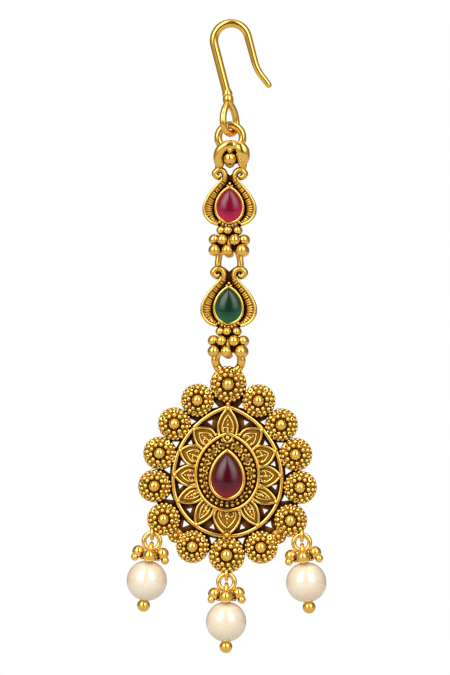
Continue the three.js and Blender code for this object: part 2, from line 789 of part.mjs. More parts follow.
// Piercings between neighbouring rosettes and the rim, and between the petals near the rim.
function piercings() {
  const holes = [];
  const pole = new THREE.Vector2(0, petalPole);
  const degrees = THREE.MathUtils.radToDeg;
  const rosetteAngles = rosettePlaces().map((p) => degrees(Math.atan2(p.x, p.z - petalPole)));
  const pairs = (angles) => {
    const sorted = [...angles].sort((a, b) => a - b);
    return sorted.map((angle, i) => {
      const next = sorted[(i + 1) % sorted.length] + (i + 1 === sorted.length ? 360 : 0);
      const middle = (angle + next) / 2;
      return middle > 180 ? middle - 360 : middle;
    });
  };
  const tips = petalTips.flatMap((angle) => (angle > 0 && angle < 180 ? [angle, -angle] : [angle]));
  const rows = [
    { angles: pairs(rosetteAngles), hole: rosetteHole, facing: -1 },
    { angles: pairs(tips), hole: petalHole, facing: 1 },
  ];
  for (const row of rows) {
    const line = pearOffset(rim, row.hole.outset);
    for (const angle of row.angles) {
      const middle = pearAt(line, 0, petalPole, angle);
      const outward = middle.clone().sub(pole).normalize();
      holes.push(triangleHole(middle, outward.multiplyScalar(-row.facing), row.hole.size));
    }
  }
  return holes;
}

// A row of granules between the inner ring and the bezel, with a large one at its top.
function granuleRow() {
  const spots = pearPoints(pearOffset(innerRing, -granuleInset), granuleCount / 2, innerRingHeight);
  const grains = spots.slice(1).map((spot) => {
    const place = at(spot.x, granuleFloorFront - smallGranule.forward * granule, spot.y);
    return placed(new THREE.OctahedronGeometry(smallGranule.radius * granule), place);
  });
  const crownFront = granuleFloorFront - crownGranule.forward * granule;
  const crown = at(0, crownFront, spots[0].y + crownGranule.rise * granule);
  return [...grains, ball(crownGranule.radius * granule, crown)];
}

function dropBailPlaces() {
  const rosettes = rosettePlaces();
  const bottom = rosettes[rosettes.length - 1];
  const side = rosettes.filter((p) => p.x > 0)[sideDropRosette];
  const sideHeight = side.z - Math.sqrt(side.radius ** 2 - sideDropOutset ** 2) - sideBailDrop;
  const reach = side.x + sideDropOutset;
  return {
    left: at(-reach, 0, sideHeight),
    middle: at(0, 0, bottom.z - bottom.radius - middleBailDrop),
    right: at(reach, 0, sideHeight),
    sideRosette: side,
    bottomRosette: bottom,
  };
}

// The wire loop at the top. Its legs step back and end in the body of the top rosette.
function medallionLoop(height) {
  const points = [];
  for (let turn = -medallionLoopReach; turn <= 180 + medallionLoopReach; turn += 15) {
    const up = Math.sin(radians(turn));
    const back = medallionLoopStep * THREE.MathUtils.smoothstep(-up, 0.05, 0.48);
    points.push(at(medallionLoopRadius * Math.cos(radians(turn)), back, height + medallionLoopRadius * up));
  }
  return wire(points, medallionLoopWire);
}

function medallionFrame() {
  const plate = pearShape(rosettePath, 20, rosettePathHeight);
  plate.holes.push(...piercings());
  const bezel = pearOffset(medallionStone, medallionBezelWall);
  const seat = pearOffset(medallionStone, stoneGap);
  const shapes = new Map([rosetteRadius, endRosetteRadius].map((radius) => [radius, rosette(radius)]));
  const rosettes = rosettePlaces().map((p) => placed(shapes.get(p.radius).clone(), at(p.x, 0, p.z)));
  const top = rosettePlaces()[0];
  const bails = dropBailPlaces();
  const pieces = [
    slab(plate, medallionBack, medallionPlateFront),
    ...rosettes,
    medallionLoop(top.z + medallionLoopDrop),
    pearBand(
      pearOffset(rim, rimWidth / 2), pearOffset(rim, -rimWidth / 2),
      18, 0, medallionBack - bandRoot, rimFront,
    ),
    ...petals().flatMap(petal),
    slab(pearShape(innerRing, 14, innerRingHeight), medallionBack - bandRoot, granuleFloorFront),
    pearBand(
      pearOffset(innerRing, innerRingWidth / 2), pearOffset(innerRing, -innerRingWidth / 2),
      14, innerRingHeight, medallionBack - innerRingRoot, innerRingFront,
    ),
    ...granuleRow(),
    slab(pearShape(bezel, 12), medallionBack - medallionBezelRoot, medallionBezelFront),
    ...['left', 'middle', 'right'].map((name) => sideRing(dropBailRadius, dropBailWire, bails[name], 12)),
    ...[-1, 1].map((side) => {
      const rootHeight = bails.sideRosette.z - sideBailStem.drop;
      const root = at(side * (bails.sideRosette.x + sideBailStem.out), sideBailStem.back, rootHeight);
      const end = at(side * bails.right.x, 0, bails.right.z + dropBailRadius);
      return strut(root, end, sideBailStemWire * dropBailWire);
    }),
  ];
  const pocket = slab(pearShape(seat, 12), medallionStoneBase + stoneGap, 2 * medallionBezelFront);
  return join(pieces).subtract(solid(pocket));
}

// Pearl drops

function dropPin() {
  const ballHeight = -(pearlRadius + pinBallDrop * pinBall);
  const loop = at(0, 0, pinLoopHeight);
  return join([
    strut(at(0, 0, ballHeight), at(0, 0, pinLoopHeight - pinLoopRadius), pinWire, 6),
    ball(pinBall, at(0, 0, ballHeight), 10, 5),
    sideRing(pinLoopRadius, pinWire, loop),
  ]);
}

function drill(radius, bottom, top) {
  return solid(strut(at(0, 0, bottom), at(0, 0, top), radius, 6));
}

function dropPearl() {
  const pearl = solid(ball(pearlRadius, at(0, 0, 0), 14, 8));
  const seat = solid(ball(pinBall + drillGap, at(0, 0, -(pearlRadius + pinBallDrop * pinBall)), 10, 5));
  const hole = drill(pinWire + drillGap, -2 * pearlRadius, 2 * pearlRadius);
  return pearl.subtract(seat).subtract(hole);
}

// Balls of the cap above a pearl: places as shares of the pearl's radius, radii as shares of the
// largest ball's.
const capTable = [
  { across: 0, forward: 0.61, up: 1.26, radius: 1 },
  { across: 0, forward: -0.61, up: 1.26, radius: 1 },
  { across: -0.6, forward: 0, up: 1.38, radius: 1 },
  { across: 0.6, forward: 0, up: 1.42, radius: 1 },
  { across: -0.74, forward: 0.1, up: 1.09, radius: 0.6 },
  { across: 0.77, forward: 0.1, up: 1.1, radius: 0.64 },
];

function dropCap() {
  const bottom = pearlRadius + drillGap;
  const collar = new THREE.CylinderGeometry(capRadius, capRadius, capHeight, 10).rotateX(Math.PI / 2);
  const balls = capTable.map((row) => {
    const place = at(row.across * pearlRadius, -row.forward * pearlRadius, row.up * pearlRadius);
    return ball(row.radius * capBall, place);
  });
  const body = join([placed(collar, at(0, 0, bottom + capHeight / 2)), ...balls]);
  return body.subtract(drill(pinWire + drillGap, 0, 2 * pearlRadius));
}

// Assembly

function node(name, body, finish) {
  const mesh = new THREE.Mesh(geometryOf(body), new THREE.MeshStandardMaterial(finishes[finish]));
  mesh.name = name;
  return mesh;
}

function linkWith(link, topPieces) {
  return join([...linkSetting(link), ...cluster(link), ...topPieces]);
}

function groupAt(height, ...children) {
  const group = new THREE.Group();
  group.position.z = height;
  group.add(...children);
  return group;
}

const ringHeight = eyeBottom + eyeWire + ringWire + seatGap - ringRadius;
const rubyHeight = ringHeight - ringRadius + ringWire + archBailWire + seatGap - archBailTop(rubyLink);
const emeraldLoopTop = rubyHeight + clusterBailBottom(rubyLink) + clusterBailWire + linkLoopWire + seatGap;
const emeraldHeight = emeraldLoopTop - emeraldLink.scrollRise - linkLoopHeight;
const emeraldBail = emeraldHeight + clusterBailBottom(emeraldLink);
const swingHeight = emeraldBail + clusterBailWire + medallionLoopWire + seatGap;
const topRosetteHeight = rosettePlaces()[0].z;
const medallionDrop = medallionLoopRadius + medallionLoopDrop + topRosetteHeight;

// A drop hangs from its bail: the jump ring first, and the pin, cap and pearl from the ring.
function drop(name, bail, splay) {
  const ringDrop = dropRingWire + dropBailWire + seatGap - dropBailRadius - dropRingRadius;
  const loopDrop = dropRingWire + pinWire + seatGap - dropRingRadius - pinLoopRadius;
  const ring = solid(frontRing(dropRingRadius, dropRingWire, at(0, 0, 0), 12));
  const hung = groupAt(0, groupAt(
    loopDrop - pinLoopHeight,
    node(`${name}_drop_pin`, dropPin(), 'gold'),
    node(`${name}_drop_cap`, dropCap(), 'gold'),
    node(`${name}_drop_pearl`, dropPearl(), 'pearl'),
  ));
  hung.rotation.y = radians(splay);
  const group = groupAt(bail.z + ringDrop, node(`${name}_drop_ring`, ring, 'gold'), hung);
  group.position.x = bail.x;
  return group;
}

const bails = dropBailPlaces();
const jewel = new THREE.Group();
jewel.add(
  node('hair_hook', hairHook(), 'gold'),
  groupAt(ringHeight, node('hook_jump_ring', solid(frontRing(ringRadius, ringWire, at(0, 0, 0))), 'gold')),
  groupAt(
    rubyHeight,
    node('ruby_link_setting', linkWith(rubyLink, arch(rubyLink)), 'antiqueGold'),
    node('ruby_link_stone', linkStone(rubyLink), 'ruby'),
  ),
  groupAt(
    emeraldHeight,
    node('emerald_link_setting', linkWith(emeraldLink, linkLoop(emeraldLink)), 'antiqueGold'),
    node('emerald_link_stone', linkStone(emeraldLink), 'emerald'),
  ),
  groupAt(
    swingHeight,
    groupAt(
      -medallionDrop,
      node('medallion_frame', medallionFrame(), 'antiqueGold'),
      node('medallion_stone', cabochon(medallionStone, {
        base: medallionStoneBase, girdle: medallionStoneGirdle, top: medallionStoneTop,
      }), 'ruby'),
      drop('left', bails.left, sideDropSplay),
      drop('middle', bails.middle, 0),
      drop('right', bails.right, -sideDropSplay),
    ),
  ),
);

export default jewel;
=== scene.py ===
import math

import bmesh
import bpy
import numpy as np
from mathutils import Matrix, Vector


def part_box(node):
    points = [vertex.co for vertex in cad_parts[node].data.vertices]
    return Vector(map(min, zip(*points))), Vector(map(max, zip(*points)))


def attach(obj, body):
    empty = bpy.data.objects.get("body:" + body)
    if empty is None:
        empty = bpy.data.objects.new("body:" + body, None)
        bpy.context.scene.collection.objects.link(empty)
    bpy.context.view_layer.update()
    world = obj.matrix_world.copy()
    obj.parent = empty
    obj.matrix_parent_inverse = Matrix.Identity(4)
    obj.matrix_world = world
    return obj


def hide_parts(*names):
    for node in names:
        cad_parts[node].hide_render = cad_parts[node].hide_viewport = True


# Forehead jewel in antique gold, hanging from its hair hook. Shapes are worked out in
# millimetres: X to the right, Y away from the viewer, Z up.
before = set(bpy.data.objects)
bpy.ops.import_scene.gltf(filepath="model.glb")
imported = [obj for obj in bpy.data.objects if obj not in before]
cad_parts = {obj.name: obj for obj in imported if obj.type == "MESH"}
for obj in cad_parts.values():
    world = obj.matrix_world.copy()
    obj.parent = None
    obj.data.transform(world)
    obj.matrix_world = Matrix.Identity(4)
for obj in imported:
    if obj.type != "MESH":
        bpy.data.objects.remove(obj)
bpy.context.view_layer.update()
scene = bpy.context.scene
mm = 0.001
towardBack = np.array([0.0, 1.0, 0.0])
backStep = 0.06  # keeps the backs of two plates apart


def boxMiddle(node):
    low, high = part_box(node)
    return np.array((low + high) / 2) / mm


def stoneHeight(node, drop):  # the widest line of a stone, from the bottom of its node
    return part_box(node)[0].z / mm + drop


# Outlines and paths.

def at(x, y, z):
    return np.array([x, y, z], float)


def reachAlong(points):  # the length of a line up to each of its points
    return np.concatenate([[0], np.cumsum(np.linalg.norm(np.diff(points, axis=0), axis=1))])


def evenSteps(points, count):
    points = np.array(points, float)
    reach = reachAlong(points)
    wanted = np.linspace(0, reach[-1], count + 1)
    return np.stack([np.interp(wanted, reach, points[:, k]) for k in range(points.shape[1])], 1)


def smoothPath(controls, steps):  # a smooth line through the controls
    p = [np.array(c, float) for c in controls]
    p = [2 * p[0] - p[1]] + p + [2 * p[-1] - p[-2]]
    spans = len(controls) - 1
    found = []
    for i in range(steps + 1):
        place = i / steps * spans
        row = min(int(place), spans - 1)
        w = place - row
        a, b, c, d = p[row:row + 4]
        ab, bc, cd = [max(np.linalg.norm(q - o) ** 0.5, 1e-4) for o, q in ((a, b), (b, c), (c, d))]
        leave = ((b - a) / ab - (c - a) / (ab + bc) + (c - b) / bc) * bc
        arrive = ((c - b) / bc - (d - b) / (bc + cd) + (d - c) / cd) * bc
        second = 3 * (c - b) - 2 * leave - arrive
        third = 2 * (b - c) + leave + arrive
        found.append(b + leave * w + second * w ** 2 + third * w ** 3)
    return np.array(found)


def fullTurn(count):  # even angles round a circle, in radians
    return 2 * math.pi * np.arange(count) / count


def onCircle(middle, radius, t):  # a circle that faces the viewer
    return middle + radius * at(math.cos(t), 0, math.sin(t))


def arcLine(middle, radius, start, end, steps):  # angles in degrees
    return [onCircle(middle, radius, t) for t in np.radians(np.linspace(start, end, steps + 1))]


# A pear outline is (half width, rise to its tip, drop to its bottom) from its widest line.
def pearHalf(pear, steps):
    halfWidth, rise, drop = pear
    radius = (rise ** 2 + halfWidth ** 2) / (2 * halfWidth)
    upper = np.linspace(math.asin(min(1, rise / radius)), 0, 120)
    lower = np.linspace(0, -math.pi / 2, 120)[1:]
    line = [(halfWidth - radius + radius * math.cos(t), radius * math.sin(t)) for t in upper]
    line += [(halfWidth * math.cos(t), drop * math.sin(t)) for t in lower]
    return evenSteps(line, steps)


def pearLoop(pear, steps, height=0):  # the whole outline, closed, from its tip
    right = pearHalf(pear, steps)
    right[0, 0] = right[-1, 0] = 0
    left = right[1:-1][::-1] * [-1, 1]
    return np.concatenate([right, left]) + [0, height]


def pearGrow(pear, distance):
    halfWidth, rise, drop = pear
    radius = (rise ** 2 + halfWidth ** 2) / (2 * halfWidth)
    tip = math.sqrt((radius + distance) ** 2 - (radius - halfWidth) ** 2)
    return (halfWidth + distance, tip, drop + distance)


def pearAt(pear, height, pole, angle):  # where a line from the pole meets the outline
    half = pearHalf(pear, 400)
    turns = np.arctan2(half[:, 0], half[:, 1] + height - pole)
    k = int(np.argmin(np.abs(turns - math.radians(abs(angle)))))
    return np.array([half[k, 0] * (1 if angle >= 0 else -1), half[k, 1] + height])


# Shells: (points, faces) in millimetres.

def gridFaces(rings, sides, closed=False):
    faces = []
    for ring in range(rings if closed else rings - 1):
        a, b = ring * sides, (ring + 1) % rings * sides
        for side in range(sides):
            after = (side + 1) % sides
            faces.append((a + side, a + after, b + after, b + side))
    return faces


def skin(rings, closed=False):  # a skin over rings of points, its ends closed with a point each
    rings = np.array(rings)
    count, sides = rings.shape[:2]
    points = rings.reshape(-1, 3)
    faces = gridFaces(count, sides, closed)
    if not closed:
        points = np.concatenate([points, [rings[0].mean(0), rings[-1].mean(0)]])
        start, end = len(points) - 2, len(points) - 1
        last = (count - 1) * sides
        for side in range(sides):
            after = (side + 1) % sides
            faces.append((start, after, side))
            faces.append((end, last + side, last + after))
    return points, faces


def unit(v):
    return v / max(np.linalg.norm(v), 1e-9)


def tube(points, radius, sides=16, closed=False, depthAxis=towardBack, flatEnds=False, deep=1.0):
    points = np.array(points, float)
    count = len(points)
    radii = np.broadcast_to(np.array(radius, float), (count,))
    turns = 2 * math.pi * (np.arange(sides) + 0.5) / sides
    rings = []
    for i in range(count):
        before = points[(i - 1) % count] if closed else points[max(i - 1, 0)]
        after = points[(i + 1) % count] if closed else points[min(i + 1, count - 1)]
        along = unit(after - before)
        across = np.cross(depthAxis, along)
        if np.linalg.norm(across) < 1e-6:
            across = np.cross([1.0, 0.0, 0.0], along)
        across = unit(across)
        outward = np.cross(along, across)
        rings.append(points[i] + radii[i] * (
            np.outer(np.cos(turns), across) + deep * np.outer(np.sin(turns), outward)))
    if closed:
        return skin(rings, True)
    if not flatEnds:
        for end, inner in ((0, 1), (-1, -2)):
            outward = unit(points[end] - points[inner])
            ring = rings[end]
            for turn in (30, 60, 82):  # a rounded end
                t = math.radians(turn)
                cap = (ring - points[end]) * math.cos(t) + points[end] + outward * radii[end] * math.sin(t)
                rings.insert(len(rings) if end else 0, cap)
    return skin(rings)


def turnedRings(profile, sides):  # a profile of (reach, depth) turned about Y
    turns = fullTurn(sides)
    return [np.stack([reach * np.cos(turns), np.full(sides, depth), reach * np.sin(turns)], 1)
            for reach, depth in profile]


def turned(place, profile, sides=40):
    return skin([ring + place for ring in turnedRings(profile, sides)])


def ball(place, radius, sides=20, stretch=(1, 1, 1)):
    rows = max(6, sides * 2 // 3)
    profile = [(math.sin(t), -math.cos(t)) for t in math.pi * (np.arange(rows) + 0.5) / rows]
    points, faces = skin([ring * radius * np.array(stretch) + place for ring in turnedRings(profile, sides)])
    points[-2] = place + at(0, -radius * stretch[1], 0)
    points[-1] = place + at(0, radius * stretch[1], 0)
    return points, faces


def ringWire(place, radius, wire, facing="front", segments=48, sides=16, cutAt=None):
    turns = fullTurn(segments)
    if cutAt is not None:  # a ring that was bent shut, with a hair's gap
        turns = np.radians(np.linspace(cutAt + 1, cutAt + 359, segments))
    side, axis = (at(1, 0, 0), towardBack) if facing == "front" else (towardBack, at(1, 0, 0))
    line = [place + radius * (math.cos(t) * side + math.sin(t) * at(0, 0, 1)) for t in turns]
    return tube(line, wire, sides, cutAt is None, axis, flatEnds=True)


def pearBand(pear, inward, outward, steps, profile, height=0):
    # A closed band round a pear outline. The profile is (share from its inner edge to its outer, depth).
    inner, outer = [pearLoop(pearGrow(pear, reach), steps, height) for reach in (-inward, outward)]
    rings = [[np.insert(a + (b - a) * share, 1, depth) for share, depth in profile]
             for a, b in zip(inner, outer)]
    return skin(rings, True)


def plate(outlines, back, front, bevel=0.08):  # a flat shape with holes and softened edges
    curve = bpy.data.curves.new("plate", "CURVE")
    curve.dimensions, curve.fill_mode = "2D", "BOTH"
    curve.bevel_depth, curve.bevel_resolution, curve.offset = bevel, 1, -bevel
    curve.extrude = (back - front) / 2 - bevel
    for outline in outlines:
        spline = curve.splines.new("POLY")
        spline.points.add(len(outline) - 1)
        spline.use_cyclic_u = True
        for point, place in zip(spline.points, outline):
            point.co = (place[0], place[1], 0, 1)
    found = plainMesh(bpy.data.objects.new("plate", curve))
    bpy.data.curves.remove(curve)
    x, y, z = found[0].T
    return np.stack([x, (back + front) / 2 - z, y], 1), found[1]


def plainMesh(source):  # what an object gives once its curve or modifiers are worked out
    scene.collection.objects.link(source)
    mesh = bpy.data.meshes.new_from_object(source.evaluated_get(bpy.context.evaluated_depsgraph_get()))
    points = np.zeros(len(mesh.vertices) * 3)
    mesh.vertices.foreach_get("co", points)
    faces = [tuple(face.vertices) for face in mesh.polygons]
    bpy.data.objects.remove(source)
    bpy.data.meshes.remove(mesh)
    return points.reshape(-1, 3), faces


def moved(points, place, tilt):  # tilted about Y by an angle in degrees, then placed
    t = math.radians(tilt)
    turn = np.array([[math.cos(t), 0, math.sin(t)], [0, 1, 0], [-math.sin(t), 0, math.cos(t)]])
    return points @ turn.T + place


# Geometry node trees for what repeats or follows a line.

def newGroup(name, kind, inputs, outputs):  # inputs: (label, socket kind, value or None)
    tree = bpy.data.node_groups.new(name, kind)
    for label, socketKind, value in inputs:
        socket = tree.interface.new_socket(label, in_out="INPUT", socket_type=socketKind)
        if value is not None:
            socket.default_value = value
    for label, socketKind in outputs:
        tree.interface.new_socket(label, in_out="OUTPUT", socket_type=socketKind)
    return tree, addNode(tree, "NodeGroupInput").outputs


def geometryGroup(name, inputs):
    return newGroup(name, "GeometryNodeTree", [("Geometry", "NodeSocketGeometry", None), *inputs],
                    [("Geometry", "NodeSocketGeometry")])


def addNode(tree, kind, inputs=(), **settings):  # inputs: (socket, value or another node's output)
    node = tree.nodes.new(kind)
    for key, value in settings.items():
        setattr(node, key, value)
    for socket, value in inputs:
        if isinstance(value, bpy.types.NodeSocket):
            tree.links.new(value, node.inputs[socket])
        else:
            node.inputs[socket].default_value = value
    return node


def endTree(tree, geometry, material):
    real = addNode(tree, "GeometryNodeRealizeInstances", [("Geometry", geometry)])
    painted = addNode(tree, "GeometryNodeSetMaterial", [
        ("Geometry", real.outputs[0]), ("Material", material)])
    addNode(tree, "NodeGroupOutput", [("Geometry", painted.outputs[0])])
    return tree


def pointValue(tree, name, kind):
    return addNode(tree, "GeometryNodeInputNamedAttribute", [("Name", name)], data_type=kind).outputs[0]


def grainTree():  # a grain on each point, with the point's own size and lie
    tree, given = geometryGroup("grainsOnPoints", [
        ("Segments", "NodeSocketInt", 10), ("Rings", "NodeSocketInt", 8),
        ("Finish", "NodeSocketMaterial", None)])
    grain = addNode(tree, "GeometryNodeMeshUVSphere", [
        ("Segments", given["Segments"]), ("Rings", given["Rings"]), ("Radius", 1.0)])
    turn = addNode(tree, "FunctionNodeAlignRotationToVector", [
        ("Vector", pointValue(tree, "lie", "FLOAT_VECTOR"))], axis="Z")
    spread = addNode(tree, "GeometryNodeInstanceOnPoints", [
        ("Points", given["Geometry"]), ("Instance", grain.outputs["Mesh"]),
        ("Rotation", turn.outputs[0]), ("Scale", pointValue(tree, "size", "FLOAT_VECTOR"))])
    return endTree(tree, spread.outputs[0], given["Finish"])


def wireTree():  # round wire along each line of edges, as thick as its points say
    tree, given = geometryGroup("wiresOnLines", [
        ("Sides", "NodeSocketInt", 8), ("Finish", "NodeSocketMaterial", None)])
    line = addNode(tree, "GeometryNodeMeshToCurve", [("Mesh", given["Geometry"])])
    circle = addNode(tree, "GeometryNodeCurvePrimitiveCircle", [
        ("Resolution", given["Sides"]), ("Radius", 1.0)], mode="RADIUS")
    wire = addNode(tree, "GeometryNodeCurveToMesh", [
        ("Curve", line.outputs[0]), ("Profile Curve", circle.outputs[0]),
        ("Scale", pointValue(tree, "thick", "FLOAT")), ("Fill Caps", True)])
    return endTree(tree, wire.outputs[0], given["Finish"])


def runTree(tree, points, edges, attributes, values):
    mesh = bpy.data.meshes.new("guide")
    mesh.from_pydata([tuple(p) for p in points], edges, [])
    for name, kind, value in attributes:
        field = "vector" if kind == "FLOAT_VECTOR" else "value"
        mesh.attributes.new(name, kind, "POINT").data.foreach_set(field, np.array(value, np.float32).ravel())
    guide = bpy.data.objects.new("guide", mesh)
    modifier = guide.modifiers.new("nodes", "NODES")
    modifier.node_group = tree
    sockets = {item.name: item.identifier for item in tree.interface.items_tree if item.in_out == "INPUT"}
    for name, value in values.items():
        modifier[sockets[name]] = value
    found = plainMesh(guide)
    bpy.data.meshes.remove(mesh)
    return found


grainNodes, wireNodes = grainTree(), wireTree()


def grains(spots, finish, segments=10, rings=8):
    # spots: (place, radius), or (place, radius, half length, lie) for a long grain
    places = [spot[0] for spot in spots]
    sizes = [(spot[1], spot[1], spot[2] if len(spot) > 2 else spot[1]) for spot in spots]
    lies = [unit(spot[3]) if len(spot) > 3 else (0, 0, 1) for spot in spots]
    found = runTree(grainNodes, places, [], [("size", "FLOAT_VECTOR", sizes), ("lie", "FLOAT_VECTOR", lies)],
                    {"Segments": segments, "Rings": rings, "Finish": finishes[finish]})
    return (*found, finish)


def wires(lines, finish, sides=8):  # lines: (points, radius, closed)
    points, edges, thick = [], [], []
    for line, radius, closed in lines:
        start = len(points)
        points.extend(line)
        edges.extend((start + i, start + i + 1) for i in range(len(line) - 1))
        if closed:
            edges.append((start + len(line) - 1, start))
        thick.extend(np.broadcast_to(radius, (len(line),)))
    found = runTree(wireNodes, points, edges, [("thick", "FLOAT", thick)],
                    {"Sides": sides, "Finish": finishes[finish]})
    return (*found, finish)


print("helpers ready")

# Finishes.

finishSizes = {  # scales of patterns are per metre, heights and reaches in metres
    "deepGold": (0.62, 0.28, 0.03, 1), "deepGoldShare": 0.22, "creviceReach": 0.0011,
    "patches": 900.0, "patchRange": (0.3, 0.75), "patchShare": 0.5,
    "specks": 5200.0, "speckRough": 0.1, "castHeight": 0.00002,
    "darkeningBelow": 0.22, "darkeningAbove": 0.2, "tarnishRough": 0.3,
    "clouds": 420.0, "cloudShare": 0.35, "bodyRange": (0.0, 0.55), "glowRange": (0.5, 1.0),
    "silk": 2600.0, "silkHeight": 0.000004,
    "pearlClouds": 260.0, "pearlRange": (0.35, 0.7),
    "pearlPale": (0.84, 0.76, 0.62, 1), "pearlWarm": (0.84, 0.71, 0.54, 1),
    "floorMottle": 14.0, "floorDark": (0.66, 0.65, 0.64, 1), "floorPale": (0.72, 0.72, 0.71, 1),
}
# tarnish and painted shade: the dark colours that the crevices of the metal go to
tarnishAndShade, patinaAndShadeDark = (0.06, 0.018, 0.003, 1), (0.04, 0.012, 0.003, 1)
# Metals: bright colour, dark colour (tarnish and painted shade in crevices), how open a place must be to stay
# bright, roughness, grain.
metalLooks = {
    "polished": ("polishedGold", (0.95, 0.64, 0.15, 1), tarnishAndShade, 0.47, 0.1, 0.12),
    "antique": ("antiqueGold", (0.82, 0.52, 0.11, 1), tarnishAndShade, 0.62, 0.28, 0.6),
    "patina": ("darkPatina", (0.2, 0.075, 0.014, 1), patinaAndShadeDark, 0.8, 0.42, 1.0, 0.9),
    # shaded: a darker copy of the gold for the rosette domes, lobes and petal bodies, painted shade
    "shaded": ("shadedGold", (0.38, 0.19, 0.032, 1), patinaAndShadeDark, 0.6, 0.36, 0.8),
}
# Stones, with painted light: their colour in the dark, in the middle and where light comes through.
stoneLooks = {
    "ruby": ("crimsonCabochon", (0.2, 0.001, 0.028, 1), (0.52, 0.003, 0.08, 1), (0.74, 0.006, 0.12, 1)),
    "garnet": ("wineCabochon", (0.06, 0.0, 0.008, 1), (0.2, 0.001, 0.022, 1), (0.5, 0.003, 0.05, 1)),
    "emerald": ("greenCabochon", (0.001, 0.032, 0.015, 1), (0.001, 0.12, 0.055, 1), (0.003, 0.27, 0.13, 1)),
}


def noise(tree, vector, scale, detail=3.0, roughness=0.5):
    return addNode(tree, "ShaderNodeTexNoise", [
        ("Vector", vector), ("Scale", scale), ("Detail", detail), ("Roughness", roughness)]).outputs[0]


def mapRange(tree, value, low, high, toLow=0.0, toHigh=1.0):
    return addNode(tree, "ShaderNodeMapRange", [
        ("Value", value), ("From Min", low), ("From Max", high), ("To Min", toLow), ("To Max", toHigh)],
        interpolation_type="SMOOTHSTEP").outputs[0]


def maths(tree, operation, *values):
    return addNode(tree, "ShaderNodeMath", list(enumerate(values)), operation=operation).outputs[0]


def times(tree, *values):
    return maths(tree, "MULTIPLY", *values)


def mixColour(tree, factor, first, second):  # sockets 6 and 7 are the two colours, 2 the result
    return addNode(tree, "ShaderNodeMix", [(0, factor), (6, first), (7, second)], data_type="RGBA").outputs[2]


# Worn, tarnished metal with painted shade: bright where it is open, brown in its crevices from tarnish and
# painted shade, with a cast grain.
def tarnishAndShadeGroup():
    s = finishSizes
    tree, given = newGroup("tarnishAndShadeMetal", "ShaderNodeTree", [
        ("Place", "NodeSocketVector", None), ("Open", "NodeSocketFloat", 1.0),
        ("Bright", "NodeSocketColor", metalLooks["polished"][1]), ("TarnishAndShade", "NodeSocketColor", tarnishAndShade),
        *[(label, "NodeSocketFloat", 0.5) for label in ("Reach", "Polish", "Grain")],
    ], [("Colour", "NodeSocketColor"), ("Roughness", "NodeSocketFloat"), ("Height", "NodeSocketFloat")])
    patches = noise(tree, given["Place"], s["patches"], 4.0, 0.6)
    specks = noise(tree, given["Place"], s["specks"], 2.0)
    level = maths(tree, "SUBTRACT", given["Open"], s["patchShare"] / 2)
    uneven = maths(tree, "MULTIPLY_ADD", patches, s["patchShare"], level)
    low = maths(tree, "SUBTRACT", given["Reach"], s["darkeningBelow"])
    high = maths(tree, "ADD", given["Reach"], s["darkeningAbove"])
    shown = mapRange(tree, uneven, low, high)
    warm = mixColour(tree, mapRange(tree, patches, *s["patchRange"]), given["Bright"], s["deepGold"])
    mostly = mixColour(tree, s["deepGoldShare"], given["Bright"], warm)
    # tarnish and painted shade: the dark colour takes over where occlusion finds the place closed in
    colour = mixColour(tree, shown, given["TarnishAndShade"], mostly)
    dull = times(tree, maths(tree, "SUBTRACT", 1.0, shown), s["tarnishRough"])
    rough = maths(tree, "ADD", maths(tree, "MULTIPLY_ADD", specks, s["speckRough"], given["Polish"]), dull)
    height = times(tree, maths(tree, "ADD", specks, patches), given["Grain"])
    addNode(tree, "NodeGroupOutput", [("Colour", colour), ("Roughness", rough), ("Height", height)])
    return tree


# A stone with light painted into its colour, as if lit through from its lower side.
def stoneGlowGroup():
    s = finishSizes
    tree, given = newGroup("stoneGlow", "ShaderNodeTree", [
        ("Place", "NodeSocketVector", None), ("Lit", "NodeSocketFloat", 0.0),
        *[(label, "NodeSocketColor", (0, 0, 0, 1)) for label in ("Deep", "Body", "Glow")],
    ], [("Colour", "NodeSocketColor"), ("Height", "NodeSocketFloat")])
    clouds = noise(tree, given["Place"], s["clouds"], 4.0, 0.6)
    silk = noise(tree, given["Place"], s["silk"], 2.0)
    lit = maths(tree, "MULTIPLY_ADD", maths(tree, "SUBTRACT", clouds, 0.5), s["cloudShare"], given["Lit"])
    body = mixColour(tree, mapRange(tree, lit, *s["bodyRange"]), given["Deep"], given["Body"])
    colour = mixColour(tree, mapRange(tree, lit, *s["glowRange"]), body, given["Glow"])
    addNode(tree, "NodeGroupOutput", [("Colour", colour), ("Height", silk)])
    return tree


tarnishAndShadeMetal, stoneGlow = tarnishAndShadeGroup(), stoneGlowGroup()


def newMaterial(name, values):
    material = bpy.data.materials.new(name)
    material.use_nodes = True
    tree = material.node_tree
    shader = tree.nodes["Principled BSDF"]
    for socket, value in values.items():
        shader.inputs[socket].default_value = value
    return material, tree, shader.inputs, addNode(tree, "ShaderNodeTexCoord").outputs["Object"]


def bump(tree, inputs, height, distance):
    node = addNode(tree, "ShaderNodeBump", [("Height", height), ("Distance", distance), ("Strength", 1.0)])
    tree.links.new(node.outputs[0], inputs["Normal"])


def metalMaterial(name, bright, dark, reach, polish, grain, metallic=1.0):
    material, tree, inputs, place = newMaterial(name, {"Metallic": metallic})
    # ambient occlusion finds the crevices, which are painted with shade as well as tarnish
    openness = addNode(tree, "ShaderNodeAmbientOcclusion", [("Distance", finishSizes["creviceReach"])],
                       samples=6, only_local=True)
    tarnishAndShadeOut = addNode(tree, "ShaderNodeGroup", [
        ("Place", place), ("Open", openness.outputs["AO"]), ("Bright", bright), ("TarnishAndShade", dark),
        ("Reach", reach), ("Polish", polish), ("Grain", grain)], node_tree=tarnishAndShadeMetal).outputs
    tree.links.new(tarnishAndShadeOut["Colour"], inputs["Base Color"])
    tree.links.new(tarnishAndShadeOut["Roughness"], inputs["Roughness"])
    bump(tree, inputs, tarnishAndShadeOut["Height"], finishSizes["castHeight"])
    return material


